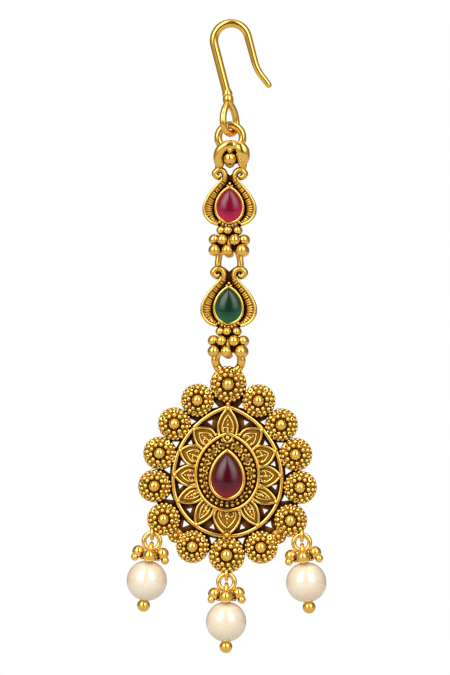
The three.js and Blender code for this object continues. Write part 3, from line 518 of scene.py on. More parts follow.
def stoneMaterial(name, deep, body, glow):
    material, tree, inputs, place = newMaterial(name, {
        "Roughness": 0.3, "IOR": 1.45, "Specular IOR Level": 0.02, "Coat Weight": 0.8, "Coat Roughness": 0.1})
    lit = addNode(tree, "ShaderNodeAttribute", attribute_name="lit").outputs["Fac"]
    stone = addNode(tree, "ShaderNodeGroup", [
        ("Place", place), ("Lit", lit), ("Deep", deep), ("Body", body), ("Glow", glow)],
        node_tree=stoneGlow).outputs
    tree.links.new(stone["Colour"], inputs["Base Color"])
    bump(tree, inputs, stone["Height"], finishSizes["silkHeight"])
    return material


def pearlMaterial():
    s = finishSizes
    material, tree, inputs, place = newMaterial("creamPearl", {
        "Roughness": 0.38, "IOR": 1.5, "Coat Weight": 1.0, "Coat Roughness": 0.13, "Coat IOR": 2.0})
    clouds = mapRange(tree, noise(tree, place, s["pearlClouds"]), *s["pearlRange"])
    tree.links.new(mixColour(tree, clouds, s["pearlPale"], s["pearlWarm"]), inputs["Base Color"])
    return material


def floorMaterial():
    s = finishSizes
    material, tree, inputs, place = newMaterial("paleFloor", {"Roughness": 0.6})
    mottle = noise(tree, place, s["floorMottle"], 4.0)
    tree.links.new(mixColour(tree, mottle, s["floorDark"], s["floorPale"]), inputs["Base Color"])
    return material


finishes = {finish: metalMaterial(*look) for finish, look in metalLooks.items()}
finishes.update((finish, stoneMaterial(*look)) for finish, look in stoneLooks.items())
finishes["pearl"] = pearlMaterial()
print("finishes ready")


def finishPiece(name, shells, body, node, slotName, lit=None, place=(0, 0, 0), tilt=0):
    # shells: (points, faces, finish); lit: how far each point is lit through, painted into the colour
    used = list(dict.fromkeys(shell[2] for shell in shells))
    points, faces, slots = [], [], []
    start = 0
    for shellPoints, shellFaces, finish in shells:
        points.append(moved(shellPoints, place, tilt))
        faces.extend(tuple(start + i for i in face) for face in shellFaces)
        slots.extend([used.index(finish)] * len(shellFaces))
        start += len(shellPoints)
    mesh = bpy.data.meshes.new(name)
    mesh.from_pydata([tuple(p) for p in np.concatenate(points) * mm], [], faces)
    mesh.polygons.foreach_set("material_index", slots)
    for finish in used:
        mesh.materials.append(finishes[finish])
    if lit is not None:
        mesh.attributes.new("lit", "FLOAT", "POINT").data.foreach_set("value", np.array(lit, np.float32))
    work = bmesh.new()
    work.from_mesh(mesh)
    bmesh.ops.recalc_face_normals(work, faces=work.faces)
    work.to_mesh(mesh)
    work.free()
    mesh.shade_smooth()
    mesh.set_sharp_from_angle(angle=math.radians(42))
    piece = bpy.data.objects.new(name, mesh)
    scene.collection.objects.link(piece)
    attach(piece, body)
    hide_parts(node)
    print(name, sum(len(face) - 2 for face in faces), "triangles")


def gathered():  # a list of shells and a function that adds to it
    shells = []

    def add(shell, finish=None):  # a shell made by nodes brings its own finish
        shells.append((shell[0], shell[1], finish or shell[2]))
    return shells, add


# Hair hook.

hookSizes = {
    "wire": 0.68, "tipWire": 0.5, "crownRadius": 2.77,
    "shankLength": 8.45, "shankLean": 15,
    "sleeveRadius": 0.82, "sleeveLength": 1.05, "sleeveLean": 8,
    "legLength": 4.3, "legLean": 15.4, "flareRadius": 6.1, "flareLean": 38, "tipLength": 1.9,
    "eyeWire": 0.55, "eyeOutline": (1.75, 3.12, 1.87), "eyeTurn": 56, "solder": 0.74,
    "jumpRadius": 1.95, "jumpWire": 0.62, "jumpCut": 62,
}
# The sleeve's outline: shares of its length and of its radius.
sleeveOutline = [(-0.5, 0.97), (-0.46, 1.0), (-0.1, 1.0), (-0.04, 0.94), (0.0, 0.9), (0.06, 0.94),
                 (0.12, 1.0), (0.16, 1.02), (0.6, 1.04), (1.0, 0.98)]


def down(start, length, lean):
    t = math.radians(lean)
    return start + length * at(math.sin(t), 0, -math.cos(t))


def makeHook():
    s = hookSizes
    shells, add = gathered()
    crown = at(0, 0, s["wire"] - s["crownRadius"])
    bow = arcLine(crown, s["crownRadius"], 180 + s["shankLean"], s["legLean"], 40)
    shankEnd = down(bow[0], s["shankLength"], s["shankLean"])
    legEnd = down(bow[-1], s["legLength"], s["legLean"])
    flareMiddle = onCircle(legEnd, s["flareRadius"], math.radians(s["legLean"]))
    flare = arcLine(flareMiddle, s["flareRadius"], 180 + s["legLean"], 180 + s["flareLean"], 8)
    line = evenSteps([shankEnd, *bow, *flare, down(flare[-1], s["tipLength"], s["flareLean"])], 110)
    reach = np.linspace(0, 1, len(line))
    crownShare = reach[int(np.argmax(line[:, 2]))]
    taper = np.clip((reach - crownShare) / (1 - crownShare), 0, 1)
    add(tube(line, s["wire"] + (s["tipWire"] - s["wire"]) * taper, 24), "polished")
    sleeveEnd = down(shankEnd, s["sleeveLength"], s["sleeveLean"])
    sleeve = [shankEnd + (sleeveEnd - shankEnd) * share for share, _ in sleeveOutline]
    add(tube(sleeve, s["sleeveRadius"] * np.array([swell for _, swell in sleeveOutline]), 24), "polished")
    _, rise, drop = s["eyeOutline"]
    eyeBottom = sleeveEnd[2] - math.sqrt((rise + drop) ** 2 - sleeveEnd[0] ** 2)
    downward = unit(at(0, 0, eyeBottom) - sleeveEnd)
    t = math.radians(s["eyeTurn"])
    sideways = at(math.cos(t), math.sin(t), 0)
    eye = [sleeveEnd + sideways * x + downward * (rise - z) for x, z in pearLoop(s["eyeOutline"], 36)]
    add(tube(eye, s["eyeWire"], 18, True, np.cross(downward, sideways)), "polished")
    add(ball(sleeveEnd + downward * 0.1, s["solder"], 20), "polished")
    finishPiece("hairHook", shells, "chain", "hair_hook", "polished_gold")


def makeJumpRing():
    s = hookSizes
    shells, add = gathered()
    place = boxMiddle("hook_jump_ring")
    add(ringWire(place, s["jumpRadius"], s["jumpWire"], "front", 64, 20, s["jumpCut"]), "polished")
    finishPiece("hookJumpRing", shells, "chain", "hook_jump_ring", "polished_gold")


makeHook()
makeJumpRing()
print("hook ready")

# Scroll links.

linkSizes = {
    "bezelWall": 0.4, "bezelBack": 0.3, "bezelFront": -1.42, "stoneOverlap": 0.06,
    "plateMargin": 1.3, "back": 0.5, "plateFront": -0.1, "spineHalfWidth": 0.19,
    "stoneBase": -0.35, "girdle": -1.05, "stoneTop": -2.05,
    "scrollDepth": 1.7, "slopeFrom": 5.2, "slopeOver": 1.2,  # in rows of scrollLine
    # places across the band are (shares of its half width, of its depth)
    "ribs": 22, "ribRadius": 0.24, "ribsAlong": (5.9, 11.9),
    "ribInner": (-0.93, 0.2), "ribOuter": (0.36, 0.8),
    "rimFrom": 5.4, "rimPlace": (0.68, 0.92), "rimRadius": (0.22, 0.26),
    "tipBeads": [(0, -0.35, 0.3, 0.3), (-0.36, -0.45, -0.1, 0.24), (0.36, -0.45, -0.1, 0.24)],
    "footBeads": (0.5, -0.8, 0.26, 0.07, 0.3),  # step, depth, drop, how far the row curls up, radius
    "beadRow": (0.24, -0.2, 0.2),  # outside the bezel, depth, radius
}
rubyLink = {"stone": (2.02, 3.23, 2.1), "halfWidth": 4.3, "rise": 6.7, "spine": (0.9, 0.79)}
emeraldLink = {"stone": (2.1, 3.38, 2.19), "halfWidth": 4.5, "rise": 7.0, "spine": (0.96, 0.86)}
rubyLink["height"] = stoneHeight("ruby_link_stone", rubyLink["stone"][2])
emeraldLink["height"] = stoneHeight("emerald_link_stone", emeraldLink["stone"][2])
# The middle line of half a scroll, from inside its curl: across, up and width, in shares.
scrollLine = [
    (0.335, 0.781, 0.088), (0.433, 0.74, 0.1), (0.558, 0.831, 0.125), (0.414, 0.919, 0.12),
    (0.247, 0.884, 0.12), (0.186, 0.772, 0.115), (0.235, 0.652, 0.115), (0.433, 0.485, 0.14),
    (0.656, 0.282, 0.172), (0.795, 0.055, 0.205), (0.788, -0.112, 0.2), (0.644, -0.26, 0.15),
    (0.395, -0.355, 0.09),
]
curlMiddle = (0.465, 0.83)
# A band's height across it, from its inner edge to its outer: a slope that rises to a rim.
slopeAcross = [-1, 0.3, 0.42, 0.6, 0.8, 0.95, 1]
slopeHeight = [0.15, 0.7, 0.92, 1.0, 0.98, 0.8, 0.4]


def scrollShells(link, side, add):
    s = linkSizes
    steps, sides = 120, 24
    middle = s["back"] - s["scrollDepth"] / 2
    controls = [at(side * a * link["halfWidth"], middle, b * link["rise"]) for a, b, _ in scrollLine]
    line = smoothPath(controls, steps)
    lastRow = len(scrollLine) - 1
    rows = np.linspace(0, lastRow, steps + 1)
    widths = np.interp(rows, range(lastRow + 1), [row[2] for row in scrollLine]) * link["halfWidth"]
    deeps = s["scrollDepth"] / 2 * (0.7 + 0.3 * widths / widths.max())
    outers = []
    for i in range(steps + 1):
        along = unit(line[min(i + 1, steps)] - line[max(i - 1, 0)])
        outer = unit(np.cross(towardBack, along))
        outers.append(-outer if outers and outer @ outers[-1] < 0 else outer)
    bow, heart = steps * 2 // 3, at(0, middle, 0.1 * link["rise"])
    if outers[bow] @ (line[bow] - heart) < 0:
        outers = [-outer for outer in outers]

    def across(i, share, height):
        return line[i] + outers[i] * share * widths[i] - towardBack * height * deeps[i]

    sloped = np.clip((rows - s["slopeFrom"]) / s["slopeOver"], 0, 1)
    turns = 2 * math.pi * (np.arange(sides) + 0.5) / sides
    rings = []
    for i in range(steps + 1):
        ring = []
        for u, v in zip(np.cos(turns), np.sin(turns)):
            if v > 0:
                v += sloped[i] * (np.interp(u, slopeAcross, slopeHeight) - v)
            ring.append(across(i, u, v))
        rings.append(ring)
    add(skin(rings), "antique")
    reach = reachAlong(line)
    ribs = []
    for wanted in np.linspace(*np.interp(s["ribsAlong"], rows, reach), s["ribs"]):
        i = int(np.searchsorted(reach, wanted))
        inner, outer = across(i, *s["ribInner"]), across(i, *s["ribOuter"])
        halfLength = np.linalg.norm(outer - inner) / 2 + 0.08
        ribs.append(((inner + outer) / 2, s["ribRadius"], halfLength, outer - inner))
    add(grains(ribs, "antique", 8, 8))
    rim = [across(i, *s["rimPlace"]) for i in range(int(steps * s["rimFrom"] / lastRow), steps)]
    add(wires([(rim, np.linspace(*s["rimRadius"], len(rim)), False)], "polished", 10))


def bezelProfile(back, front, lip=0.22):
    rounded = [(0.0, 1), (0.08, 0.4), (0.3, 0.08), (0.5, 0), (0.72, 0.1), (0.92, 0.5), (1.0, 1)]
    return [(0.0, back), *[(share, front + drop * lip) for share, drop in rounded], (1.0, back)]


def linkBaseShells(link, add):
    s = linkSizes
    stone = link["stone"]
    add(plate([pearLoop(pearGrow(stone, s["plateMargin"]), 32)], s["back"], s["plateFront"]), "patina")
    half = s["spineHalfWidth"] * link["halfWidth"]
    top, notch = [share * link["rise"] for share in link["spine"]]
    spine = [(-half, 0), (half, 0), (half, top), (0, notch), (-half, top)]
    add(plate([spine], s["back"] - backStep, s["plateFront"]), "patina")
    bezel = bezelProfile(s["bezelBack"], s["bezelFront"])
    add(pearBand(stone, s["stoneOverlap"], s["bezelWall"], 40, bezel), "polished")
    for side in (-1, 1):
        scrollShells(link, side, add)
    tip = pearGrow(stone, s["bezelWall"])[1]
    beads = [(at(x, y, tip + z), radius) for x, y, z, radius in s["tipBeads"]]
    foot = -(stone[2] + s["bezelWall"])
    step, depth, drop, curl, radius = s["footBeads"]
    beads += [(at(step * k, depth, foot - drop + curl * k * k), radius) for k in range(-3, 4)]
    add(grains(beads, "polished"))
    outside, depth, radius = s["beadRow"]
    row = pearLoop(pearGrow(stone, s["bezelWall"] + outside), 17)
    add(grains([(at(x, depth, z), radius) for x, z in row], "antique"))


clusterSizes = {
    "height": 4.2, "halfWidth": 2.4, "depth": 1.95, "ball": 0.98, "carrier": 0.42,
    "bailRadius": 1.46, "bailWire": 0.5, "bailDrop": 3.45,
    "solder": 0.55, "solderStretch": (1.35, 1, 0.85), "solderForward": 0.3,
    "core": [(-0.62, 0.1), (0.62, 0.1), (0.62, -0.62), (-0.62, -0.62)], "coreDepth": 0.5, "coreBevel": 0.3,
    "web": [(-0.8, -0.5), (0.75, -0.5), (0.7, -1.02), (-0.76, -1.02)], "webDepth": 1.15, "webHalf": 0.14,
}
# Balls of a cluster, front half: across, forward, down and radius in shares, and its carrier.
clusterBalls = [
    (-0.56, 0.39, 0.24, 0.75, None), (-0.1, 0.6, 0.24, 0.74, None), (0.54, 0.39, 0.24, 0.77, None),
    (-1, 0.42, 0.6, 0.92, None), (-0.46, 0.82, 0.6, 0.9, None), (0.38, 0.84, 0.6, 0.95, None),
    (0.98, 0.44, 0.6, 0.92, 5), (-0.96, 1, 1, 0.98, 3), (-0.125, 1, 1, 0.94, 4), (0.875, 1, 1, 1.04, 6),
]


def clusterShells(link, add):
    s = clusterSizes
    top = -(link["stone"][2] + linkSizes["bezelWall"])
    for side in (-1, 1):
        places = [at(a * s["halfWidth"], side * f * s["depth"], top - d * s["height"])
                  for a, f, d, _, _ in clusterBalls]
        for place, (_, _, _, radius, carrier) in zip(places, clusterBalls):
            add(ball(place, radius * s["ball"], 26), "polished")
            if carrier is not None:
                add(tube([place, places[carrier]], s["carrier"] * s["ball"], 10, flatEnds=True), "patina")
    core, web = [[(x * s["halfWidth"], top + z * s["height"]) for x, z in s[name]]
                 for name in ("core", "web")]
    deep = s["coreDepth"] * s["depth"]
    add(plate([core], deep, -deep, s["coreBevel"]), "patina")
    # painted shade: a dark sheet behind the lower balls darkens the gaps between them
    for side in (-1, 1):  # dark metal behind the lower balls
        middle = side * s["webDepth"]
        add(plate([web], middle + s["webHalf"], middle - s["webHalf"], 0.05), "patina")
    bail = at(0, 0, top - s["bailDrop"])
    add(ringWire(bail, s["bailRadius"], s["bailWire"], "side", 40), "antique")
    solder = bail - at(0, s["solderForward"], s["bailRadius"])  # a drop of solder under the bail
    add(ball(solder, s["solder"], 20, s["solderStretch"]), "polished")


archSizes = {
    "height": 3.6, "depth": 1.47, "bandDepth": 0.86, "leafTaper": 0.3, "ball": 1.06,
    "bailRadius": 1.2, "bailWire": 0.35, "bailTop": 1.09,
    "web": (0.05, 0.42, 0.2), "webRadius": 1.5, "webStretch": (1.22, 0.25, 0.82),
    "feet": (-0.86, 1.14), "footUp": 0.17, "footForward": 0.55, "curlUp": 0.9,
    "ringlets": [(0.06, -1.9, 9.65), (1.94, -1.62, 7.82)], "ringlet": 0.33, "ringletWire": 0.16,
    "ringletFloor": [(0.2, 0.3), (0.2, 0.02), (0.1, 0.0)],
}
# A narrow band on the left and a broad leaf on the right: radius, then places in shares of the
# curl's reach, the height and the depth.
archBands = [
    (0.8, [(0.27, 0.95, 1), (-0.29, 0.92, 1), (-0.74, 0.74, 0.9), (-0.92, 0.46, 0.75), (-0.82, 0.14, 0.55)]),
    (1.16, [(0.6, 0.93, 0.92), (0.95, 0.74, 0.86), (1.03, 0.44, 0.72), (1.0, 0.17, 0.55)]),
]
archBalls = [  # across, up and forward in the same shares, radius in shares of the ball
    (0, 0.35, 0.82, 1, 26, "polished"), (0, 0.16, 0.4, 0.75, 24, "antique"),
    (0.02, 0.72, 1.18, 0.46, 18, "antique"),
]
loopSizes = {"wire": 0.54, "reach": 0.76, "rise": 2.9, "bowed": 1.13, "shoulder": 0.98, "shoulderUp": 0.25}


def archShells(link, add):
    s = archSizes
    reach = curlMiddle[0] * link["halfWidth"]

    def place(across, up, forward):
        return at(across * reach, -forward * s["depth"], link["rise"] + up * s["height"])

    for radius, rows in archBands:
        line = smoothPath([place(*row) for row in rows], 40)
        swell = 1 - s["leafTaper"] * (radius > 1) * np.linspace(-1, 1, 41) ** 2
        add(tube(line, radius * swell, 20, deep=min(1, s["bandDepth"] / radius)), "polished")
    bail = at(0, 0, link["rise"] + s["bailTop"] * s["height"] - s["bailRadius"])
    add(ringWire(bail, s["bailRadius"], s["bailWire"], "side", 36), "polished")
    for across, up, forward, share, sides, finish in archBalls:
        add(ball(place(across, up, forward), share * s["ball"], sides), finish)
    add(ball(place(*s["web"]), s["webRadius"], 24, s["webStretch"]), "patina")
    curlDepth = linkSizes["back"] - linkSizes["scrollDepth"] / 2
    for across in s["feet"]:
        curl = at(math.copysign(reach, across), curlDepth, s["curlUp"] * link["rise"])
        add(tube([place(across, s["footUp"], s["footForward"]), curl], s["ball"] / 2, 12), "antique")
    for ringlet in s["ringlets"]:
        add(ringWire(at(*ringlet), s["ringlet"], s["ringletWire"], segments=20, sides=10), "antique")
        add(turned(at(*ringlet), s["ringletFloor"], 14), "patina")


def loopShells(link, add):
    s = loopSizes
    reach = s["reach"] * curlMiddle[0] * link["halfWidth"]
    crown = link["rise"] + s["rise"] - reach
    foot = curlMiddle[1] * link["rise"]
    right = [at(reach, 0, foot), at(s["bowed"] * reach, 0, (foot + crown) / 2),
             at(s["shoulder"] * reach, 0, crown + s["shoulderUp"] * reach)]
    over = arcLine(at(0, 0, crown), reach, 35, 145, 4)
    line = smoothPath([*right, *over, *[row * at(-1, 1, 1) for row in reversed(right)]], 60)
    add(tube(line, s["wire"], 18), "polished")


def cabochon(name, node, outline, height, s, finish, body, slotName):
    base, girdle, top = s["stoneBase"], s["girdle"], s["stoneTop"]
    quarter = np.linspace(0, 1, 18)[1:-1] * math.pi / 2
    rows = [(0.97, base), (1, base + 0.03), (1, girdle)]
    rows += [(math.cos(t), girdle + (top - girdle) * math.sin(t)) for t in quarter]
    loop = pearLoop(outline, 40)
    points, faces = skin([[at(x * scale, depth, z * scale + height) for x, z in loop]
                          for scale, depth in rows])
    points[-1] = at(0, top, height)
    # painted light: brighter towards the bottom and the edges, darkest in the middle of the dome
    low = (height - points[:, 2]) / outline[2]
    edge = np.clip((points[:, 1] - top) / (girdle - top), 0, 1)
    lit = np.clip(0.45 + 0.5 * low, 0, 1) * edge ** 0.7
    finishPiece(name, [(points, faces, finish)], body, node, slotName, lit)


def makeLink(name, node, link, topShells):
    shells, add = gathered()
    linkBaseShells(link, add)
    clusterShells(link, add)
    topShells(link, add)
    finishPiece(name, shells, "chain", node, "antique_gold", place=at(0, 0, link["height"]))


makeLink("rubyLinkSetting", "ruby_link_setting", rubyLink, archShells)
makeLink("emeraldLinkSetting", "emerald_link_setting", emeraldLink, loopShells)
for name, node, link, finish, slotName in (
        ("rubyLinkStone", "ruby_link_stone", rubyLink, "ruby", "red_stone"),
        ("emeraldLinkStone", "emerald_link_stone", emeraldLink, "emerald", "green_stone")):
    cabochon(name, node, link["stone"], link["height"], linkSizes, finish, "chain", slotName)
print("links ready")

# Medallion.

medallionSizes = {
    "stone": (2.45, 4.5, 2.74), "stoneOverlap": 0.06, "stoneBase": -0.2, "girdle": -1.2, "stoneTop": -2.5,
    "bezelWall": 0.5, "bezelBack": 0.8, "bezelFront": -1.62, "bezelLip": 0.26,
    "innerRing": (5.06, 6.6, 5.7), "innerRingHeight": 0.85, "innerRingWidth": 0.5,
    "innerRingBack": 0.9, "innerRingFront": -0.9, "floorBack": 1.0, "floorFront": 0.0,
    "rim": (8.7, 11.7, 9.0), "rimWidth": 0.7, "rimBack": 1.0, "rimFront": -0.2, "rimLip": 0.34,
    "back": 1.3, "plateFront": 0.7, "rosetteHole": 0.66, "petalHole": 0.5,
    "rosettePath": (11.67, 16.27, 11.06), "rosettePathHeight": -0.96,
    "rosetteStations": [0, 0.142, 0.277, 0.412, 0.548, 0.69, 0.855, 1],
    "loopRadius": 2.07, "loopWire": 0.68, "loopDrop": 3.85, "loopReach": 75,
    "loopStep": 0.62, "loopStepFrom": 0.05, "loopStepOver": 0.43,
    "dropBailRadius": 0.85, "dropBailWire": 0.29, "dropReach": 12, "sideDropRosette": 4,
    "sideDropDown": 2.32, "middleDropDown": 0.24, "dropRoot": (0.25, 0.46, -1.5), "dropRootWire": 1.6,
}


def rosettePlaces():
    s = medallionSizes
    half = pearHalf(s["rosettePath"], 1000)
    places = []
    for share in s["rosetteStations"]:
        x, z = half[int(round(share * 1000))] + [0, s["rosettePathHeight"]]
        if share in (0, 1):
            places.append((0, z, rosetteSizes["endRadius"]))
        else:
            places += [(side * x, z, rosetteSizes["radius"]) for side in (1, -1)]
    return places


petalSizes = {
    "tips": [0, 37.5, 64, 91, 119, 149, 180], "joints": [14, 43.5, 77, 111, 135.6, 160],
    "pole": 0.96, "front": -0.35, "wire": 0.21, "bodyInset": 0.2, "bodyFront": 0.32,
    "leafInset": 0.62, "leafForward": 0.24, "leafWire": 0.13,
    # places are up and across in shares of the petal or its leaf, and forward
    "tipBead": (0.985, 0, 0.08), "tipBeadRadius": 0.4, "footBead": (0.06, 0.93, 0.05), "footBeadRadius": 0.3,
    "scrollPlace": (0.26, 0.42, 0.28), "scroll": (0.17, 0.16), "scrollWire": 0.11,
    "veins": (0.24, 0.46), "veinLength": 0.34, "veinWire": 0.07, "veinForward": (0.33, 0.3),
}
petalOutline = [(0, 0.86), (0.34, 1.06), (0.7, 0.7), (1, 0)]  # along and across, in shares
petalBeads = [(0.5, 0.3, 0.25), (0.72, 0.3, 0.19), (0.06, 0.3, 0.24)]  # up the leaf, forward, radius


def petalPlaces():  # tip, foot and half width of each petal
    s = medallionSizes
    pole = petalSizes["pole"]
    tipLine = pearGrow(s["rim"], -s["rimWidth"] / 5)
    footLine = pearGrow(s["innerRing"], s["innerRingWidth"] / 5)
    joints = petalSizes["joints"]
    joints = [-joints[0], *joints, -joints[-1]]
    found = []
    for i, angle in enumerate(petalSizes["tips"]):
        ends = [pearAt(footLine, s["innerRingHeight"], pole, joint) for joint in joints[i:i + 2]]
        tip = pearAt(tipLine, 0, pole, angle)
        if angle in (0, 180):
            tip[0] = 0
        foot, half = (ends[0] + ends[1]) / 2, np.linalg.norm(ends[1] - ends[0]) / 2
        found.append((tip, foot, half))
        if 0 < angle < 180:
            found.append((tip * [-1, 1], foot * [-1, 1], half))
    return found


def petalFrame(tip, foot, half, inset=0.0):  # a function from shares of the petal to a place
    along = unit(tip - foot)
    across = np.array([along[1], -along[0]])
    length = np.linalg.norm(tip - foot) - 2.1 * inset
    width = max(half - inset, 0.1)

    def place(up, side, forward):
        x, z = foot + along * (up * length + 0.3 * inset) + across * side * width
        return at(x, petalSizes["front"] + forward, z)
    return place


def petalLine(place, forward, steps=10):  # the outline from one end of its foot over its tip
    right = smoothPath([place(up, side, forward) for up, side in petalOutline], steps)
    left = smoothPath([place(up, -side, forward) for up, side in reversed(petalOutline)], steps)
    return np.concatenate([right, left[1:]])


def openScroll(middle, radius, opening, wire):  # thicker towards its two ends
    line = [onCircle(middle, radius, t) for t in np.radians(opening + np.linspace(40, 320, 14))]
    return line, np.concatenate([np.linspace(1.4, 1, 7), np.linspace(1, 1.4, 7)]) * wire, False


def petalShells(add):
    s = petalSizes
    outlines, leaves, beads, bodies = [], [], [], []
    for tip, foot, half in petalPlaces():
        whole = petalFrame(tip, foot, half)
        inner = petalFrame(tip, foot, half, s["leafInset"])
        outlines.append((petalLine(whole, s["wire"]), s["wire"], False))
        leaves.append((petalLine(inner, s["leafForward"]), s["leafWire"], False))
        bodies.append(petalLine(petalFrame(tip, foot, half, s["bodyInset"]), 0)[:, [0, 2]])
        beads.append((whole(*s["tipBead"]), s["tipBeadRadius"]))
        beads += [(inner(up, 0, forward), radius) for up, forward, radius in petalBeads]
        out = math.degrees(math.atan2(tip[1] - foot[1], tip[0] - foot[0]))
        share, least = s["scroll"]
        for side in (-1, 1):
            mirrored = [1, side, 1]
            leaves.append(openScroll(inner(*np.multiply(s["scrollPlace"], mirrored)), share * half + least,
                                     out + 90 - 90 * side, s["scrollWire"]))
            beads.append((whole(*np.multiply(s["footBead"], mirrored)), s["footBeadRadius"]))
        near, far = s["veinForward"]
        for up in s["veins"]:  # towards the tip
            leaves.append(([inner(up, 0, near), inner(up + s["veinLength"], 0, far)], s["veinWire"], False))
    add(plate(bodies, medallionSizes["plateFront"] + 0.2, s["front"] + s["bodyFront"], 0.05), "shaded")
    add(wires(outlines, "polished", 10))
    add(wires(leaves, "antique"))
    add(grains(beads, "polished"))


def triangleHole(middle, corner, size):  # corner: the way from the middle to its first corner
    start = math.atan2(corner[1], corner[0])
    return [middle + size * np.array([math.cos(start + t), math.sin(start + t)]) for t in fullTurn(3)]


def piercings(places):
    s = medallionSizes
    pole = petalSizes["pole"]
    rosettes = [math.degrees(math.atan2(x, z - pole)) for x, z, _ in places]
    tips = [side * angle for angle in petalSizes["tips"] for side in ((1, -1) if 0 < angle < 180 else (1,))]
    holes = []
    rings = ((rosettes, 0.95, s["rosetteHole"], 1), (tips, -1.05, s["petalHole"], -1))
    for angles, grow, size, facing in rings:
        ordered = sorted(angles)
        for angle, after in zip(ordered, [*ordered[1:], ordered[0] + 360]):
            between = (angle + after) / 2
            middle = pearAt(pearGrow(s["rim"], grow), 0, pole, between - 360 if between > 180 else between)
            holes.append(triangleHole(middle, facing * unit(middle - [0, pole]), size))
    return holes


rosetteSizes = {
    "radius": 2.6, "endRadius": 2.86, "ball": 0.92, "ballDepth": -0.72,
    "neck": 1.08, "neckWire": 0.14, "neckDepth": -0.64, "backBevel": 0.08, "crown": (0.1, -0.7),
    "turn": 0.37, "uneven": 0.07, "unevenSteps": (5.3, 2.1),
    "ringlet": 0.28, "ringletWire": 0.15, "ringletTilt": 30, "ringletForward": 0.12,
}
rosetteDome = [(1, 0.2), (0.98, 0.08), (0.92, -0.08), (0.8, -0.27), (0.66, -0.45), (0.5, -0.58), (0.3, -0.66)]
# Rows of grains round a rosette's ball: how many, their reach, radius and depth.
rosetteRows = [(10, 1.42, 0.37, -0.62), (15, 2.04, 0.35, -0.3), (21, 2.43, 0.27, 0.1)]
# A small lobe between the two lowest rosettes of each side.
lobeSizes = {"place": (8.25, 0.3, -8.95), "radius": 1.2, "crown": (0.05, -0.25), "grain": 0.27,
             "grainReach": 0.72, "middleGrain": 1.4}
lobeDome = [(1, 0.9), (1, 0.1), (0.8, -0.1), (0.4, -0.22)]


def ringlet(place, around):  # a small ring that lies on the side of a dome
    s = rosetteSizes
    lean = math.radians(s["ringletTilt"])
    outward, sideways = onCircle(0, 1, around), onCircle(0, 1, around + math.pi / 2)
    slope = outward * math.cos(lean) + towardBack * math.sin(lean)
    front = place - towardBack * s["ringletForward"]
    return [front + s["ringlet"] * (math.cos(t) * sideways + math.sin(t) * slope) for t in fullTurn(10)]


def rosetteShells(places, add):
    s, back = rosetteSizes, medallionSizes["back"]
    grainStep, rosetteStep = s["unevenSteps"]
    spots, smallSpots, ringlets = [], [], []
    for number, (x, z, radius) in enumerate(places):
        grow = radius / s["radius"]
        profile = [(radius - s["backBevel"], back), (radius, back - s["backBevel"]),
                   *[(share * radius, depth) for share, depth in rosetteDome], s["crown"]]
        add(turned(at(x, 0, z), profile, 44), "shaded")
        add(ball(at(x, s["ballDepth"], z), s["ball"] * grow, 30), "polished")
        neck = at(x, s["neckDepth"], z)
        add(ringWire(neck, s["neck"] * grow, s["neckWire"], segments=28, sides=8), "patina")
        for row, (count, reach, size, depth) in enumerate(rosetteRows):
            for k in range(count):
                t = 2 * math.pi * (k + s["turn"] * number) / count
                uneven = 1 + s["uneven"] * math.sin(grainStep * k + rosetteStep * number)
                place = onCircle(at(x, depth, z), reach * grow, t)
                if row == 1 and (k + number) % 3 == 0:
                    ringlets.append((ringlet(place, t), s["ringletWire"], True))
                else:
                    (smallSpots if row else spots).append((place, size * grow * uneven))
    x, y, z = lobeSizes["place"]
    radius, grain = lobeSizes["radius"], lobeSizes["grain"]
    for side in (-1, 1):
        middle = at(side * x, y, z)
        lobe = [*[(share * radius, depth) for share, depth in lobeDome], lobeSizes["crown"]]
        add(turned(middle, lobe, 28), "shaded")
        spots.append((middle + lobeSizes["crown"][1] * towardBack, lobeSizes["middleGrain"] * grain))
        smallSpots += [(onCircle(middle, lobeSizes["grainReach"] * radius, t), grain) for t in fullTurn(8)]
    add(grains(spots, "polished"))
    add(grains(smallSpots, "polished", 8, 6))
    add(wires(ringlets, "polished", 6))


reliefSizes = {  # between the inner ring and the bezel
    "outerBeads": 17, "outerInset": 0.72, "outerDepth": -0.22, "outerBead": 0.36,
    "innerBeads": 15, "innerReach": 0.34, "innerDepth": -0.3, "innerBead": 0.3,
    "scrolls": 11, "scrollInset": 1.45, "scrollDepth": -0.2, "scroll": 0.34, "scrollWire": 0.12,
    "crownBall": 0.42, "crownUp": 0.1, "crownDepth": -0.38, "crownRing": 0.72, "crownWire": 0.2,
    "crownForward": 0.12,
}


def ringRelief(add):
    s, m = reliefSizes, medallionSizes
    outerRow, middleRow = [pearLoop(pearGrow(m["innerRing"], -s[inset]), s[count], m["innerRingHeight"])
                           for inset, count in (("outerInset", "outerBeads"), ("scrollInset", "scrolls"))]
    innerRow = pearLoop(pearGrow(m["stone"], m["bezelWall"] + s["innerReach"]), s["innerBeads"])
    beads = [(at(x, s["outerDepth"], z), s["outerBead"]) for x, z in outerRow[1:]]
    beads += [(at(x, s["innerDepth"], z), s["innerBead"]) for x, z in innerRow]
    scrolls = []
    for k, (x, z) in enumerate(middleRow[1:]):
        opening = math.degrees(math.atan2(z, x)) + (90 if k % 2 else -90)
        turns = np.radians(opening + np.linspace(30, 300, 12))
        scrolls.append(([onCircle(at(x, s["scrollDepth"], z), s["scroll"], t) for t in turns],
                        s["scrollWire"], False))
    crown = at(0, s["crownDepth"], outerRow[0][1] + s["crownUp"])
    add(grains(beads, "antique", 9, 7))
    add(wires(scrolls, "antique"))
    add(ball(crown, s["crownBall"], 20), "polished")
    around = crown - s["crownForward"] * towardBack
    add(ringWire(around, s["crownRing"], s["crownWire"], segments=28, sides=10), "polished")


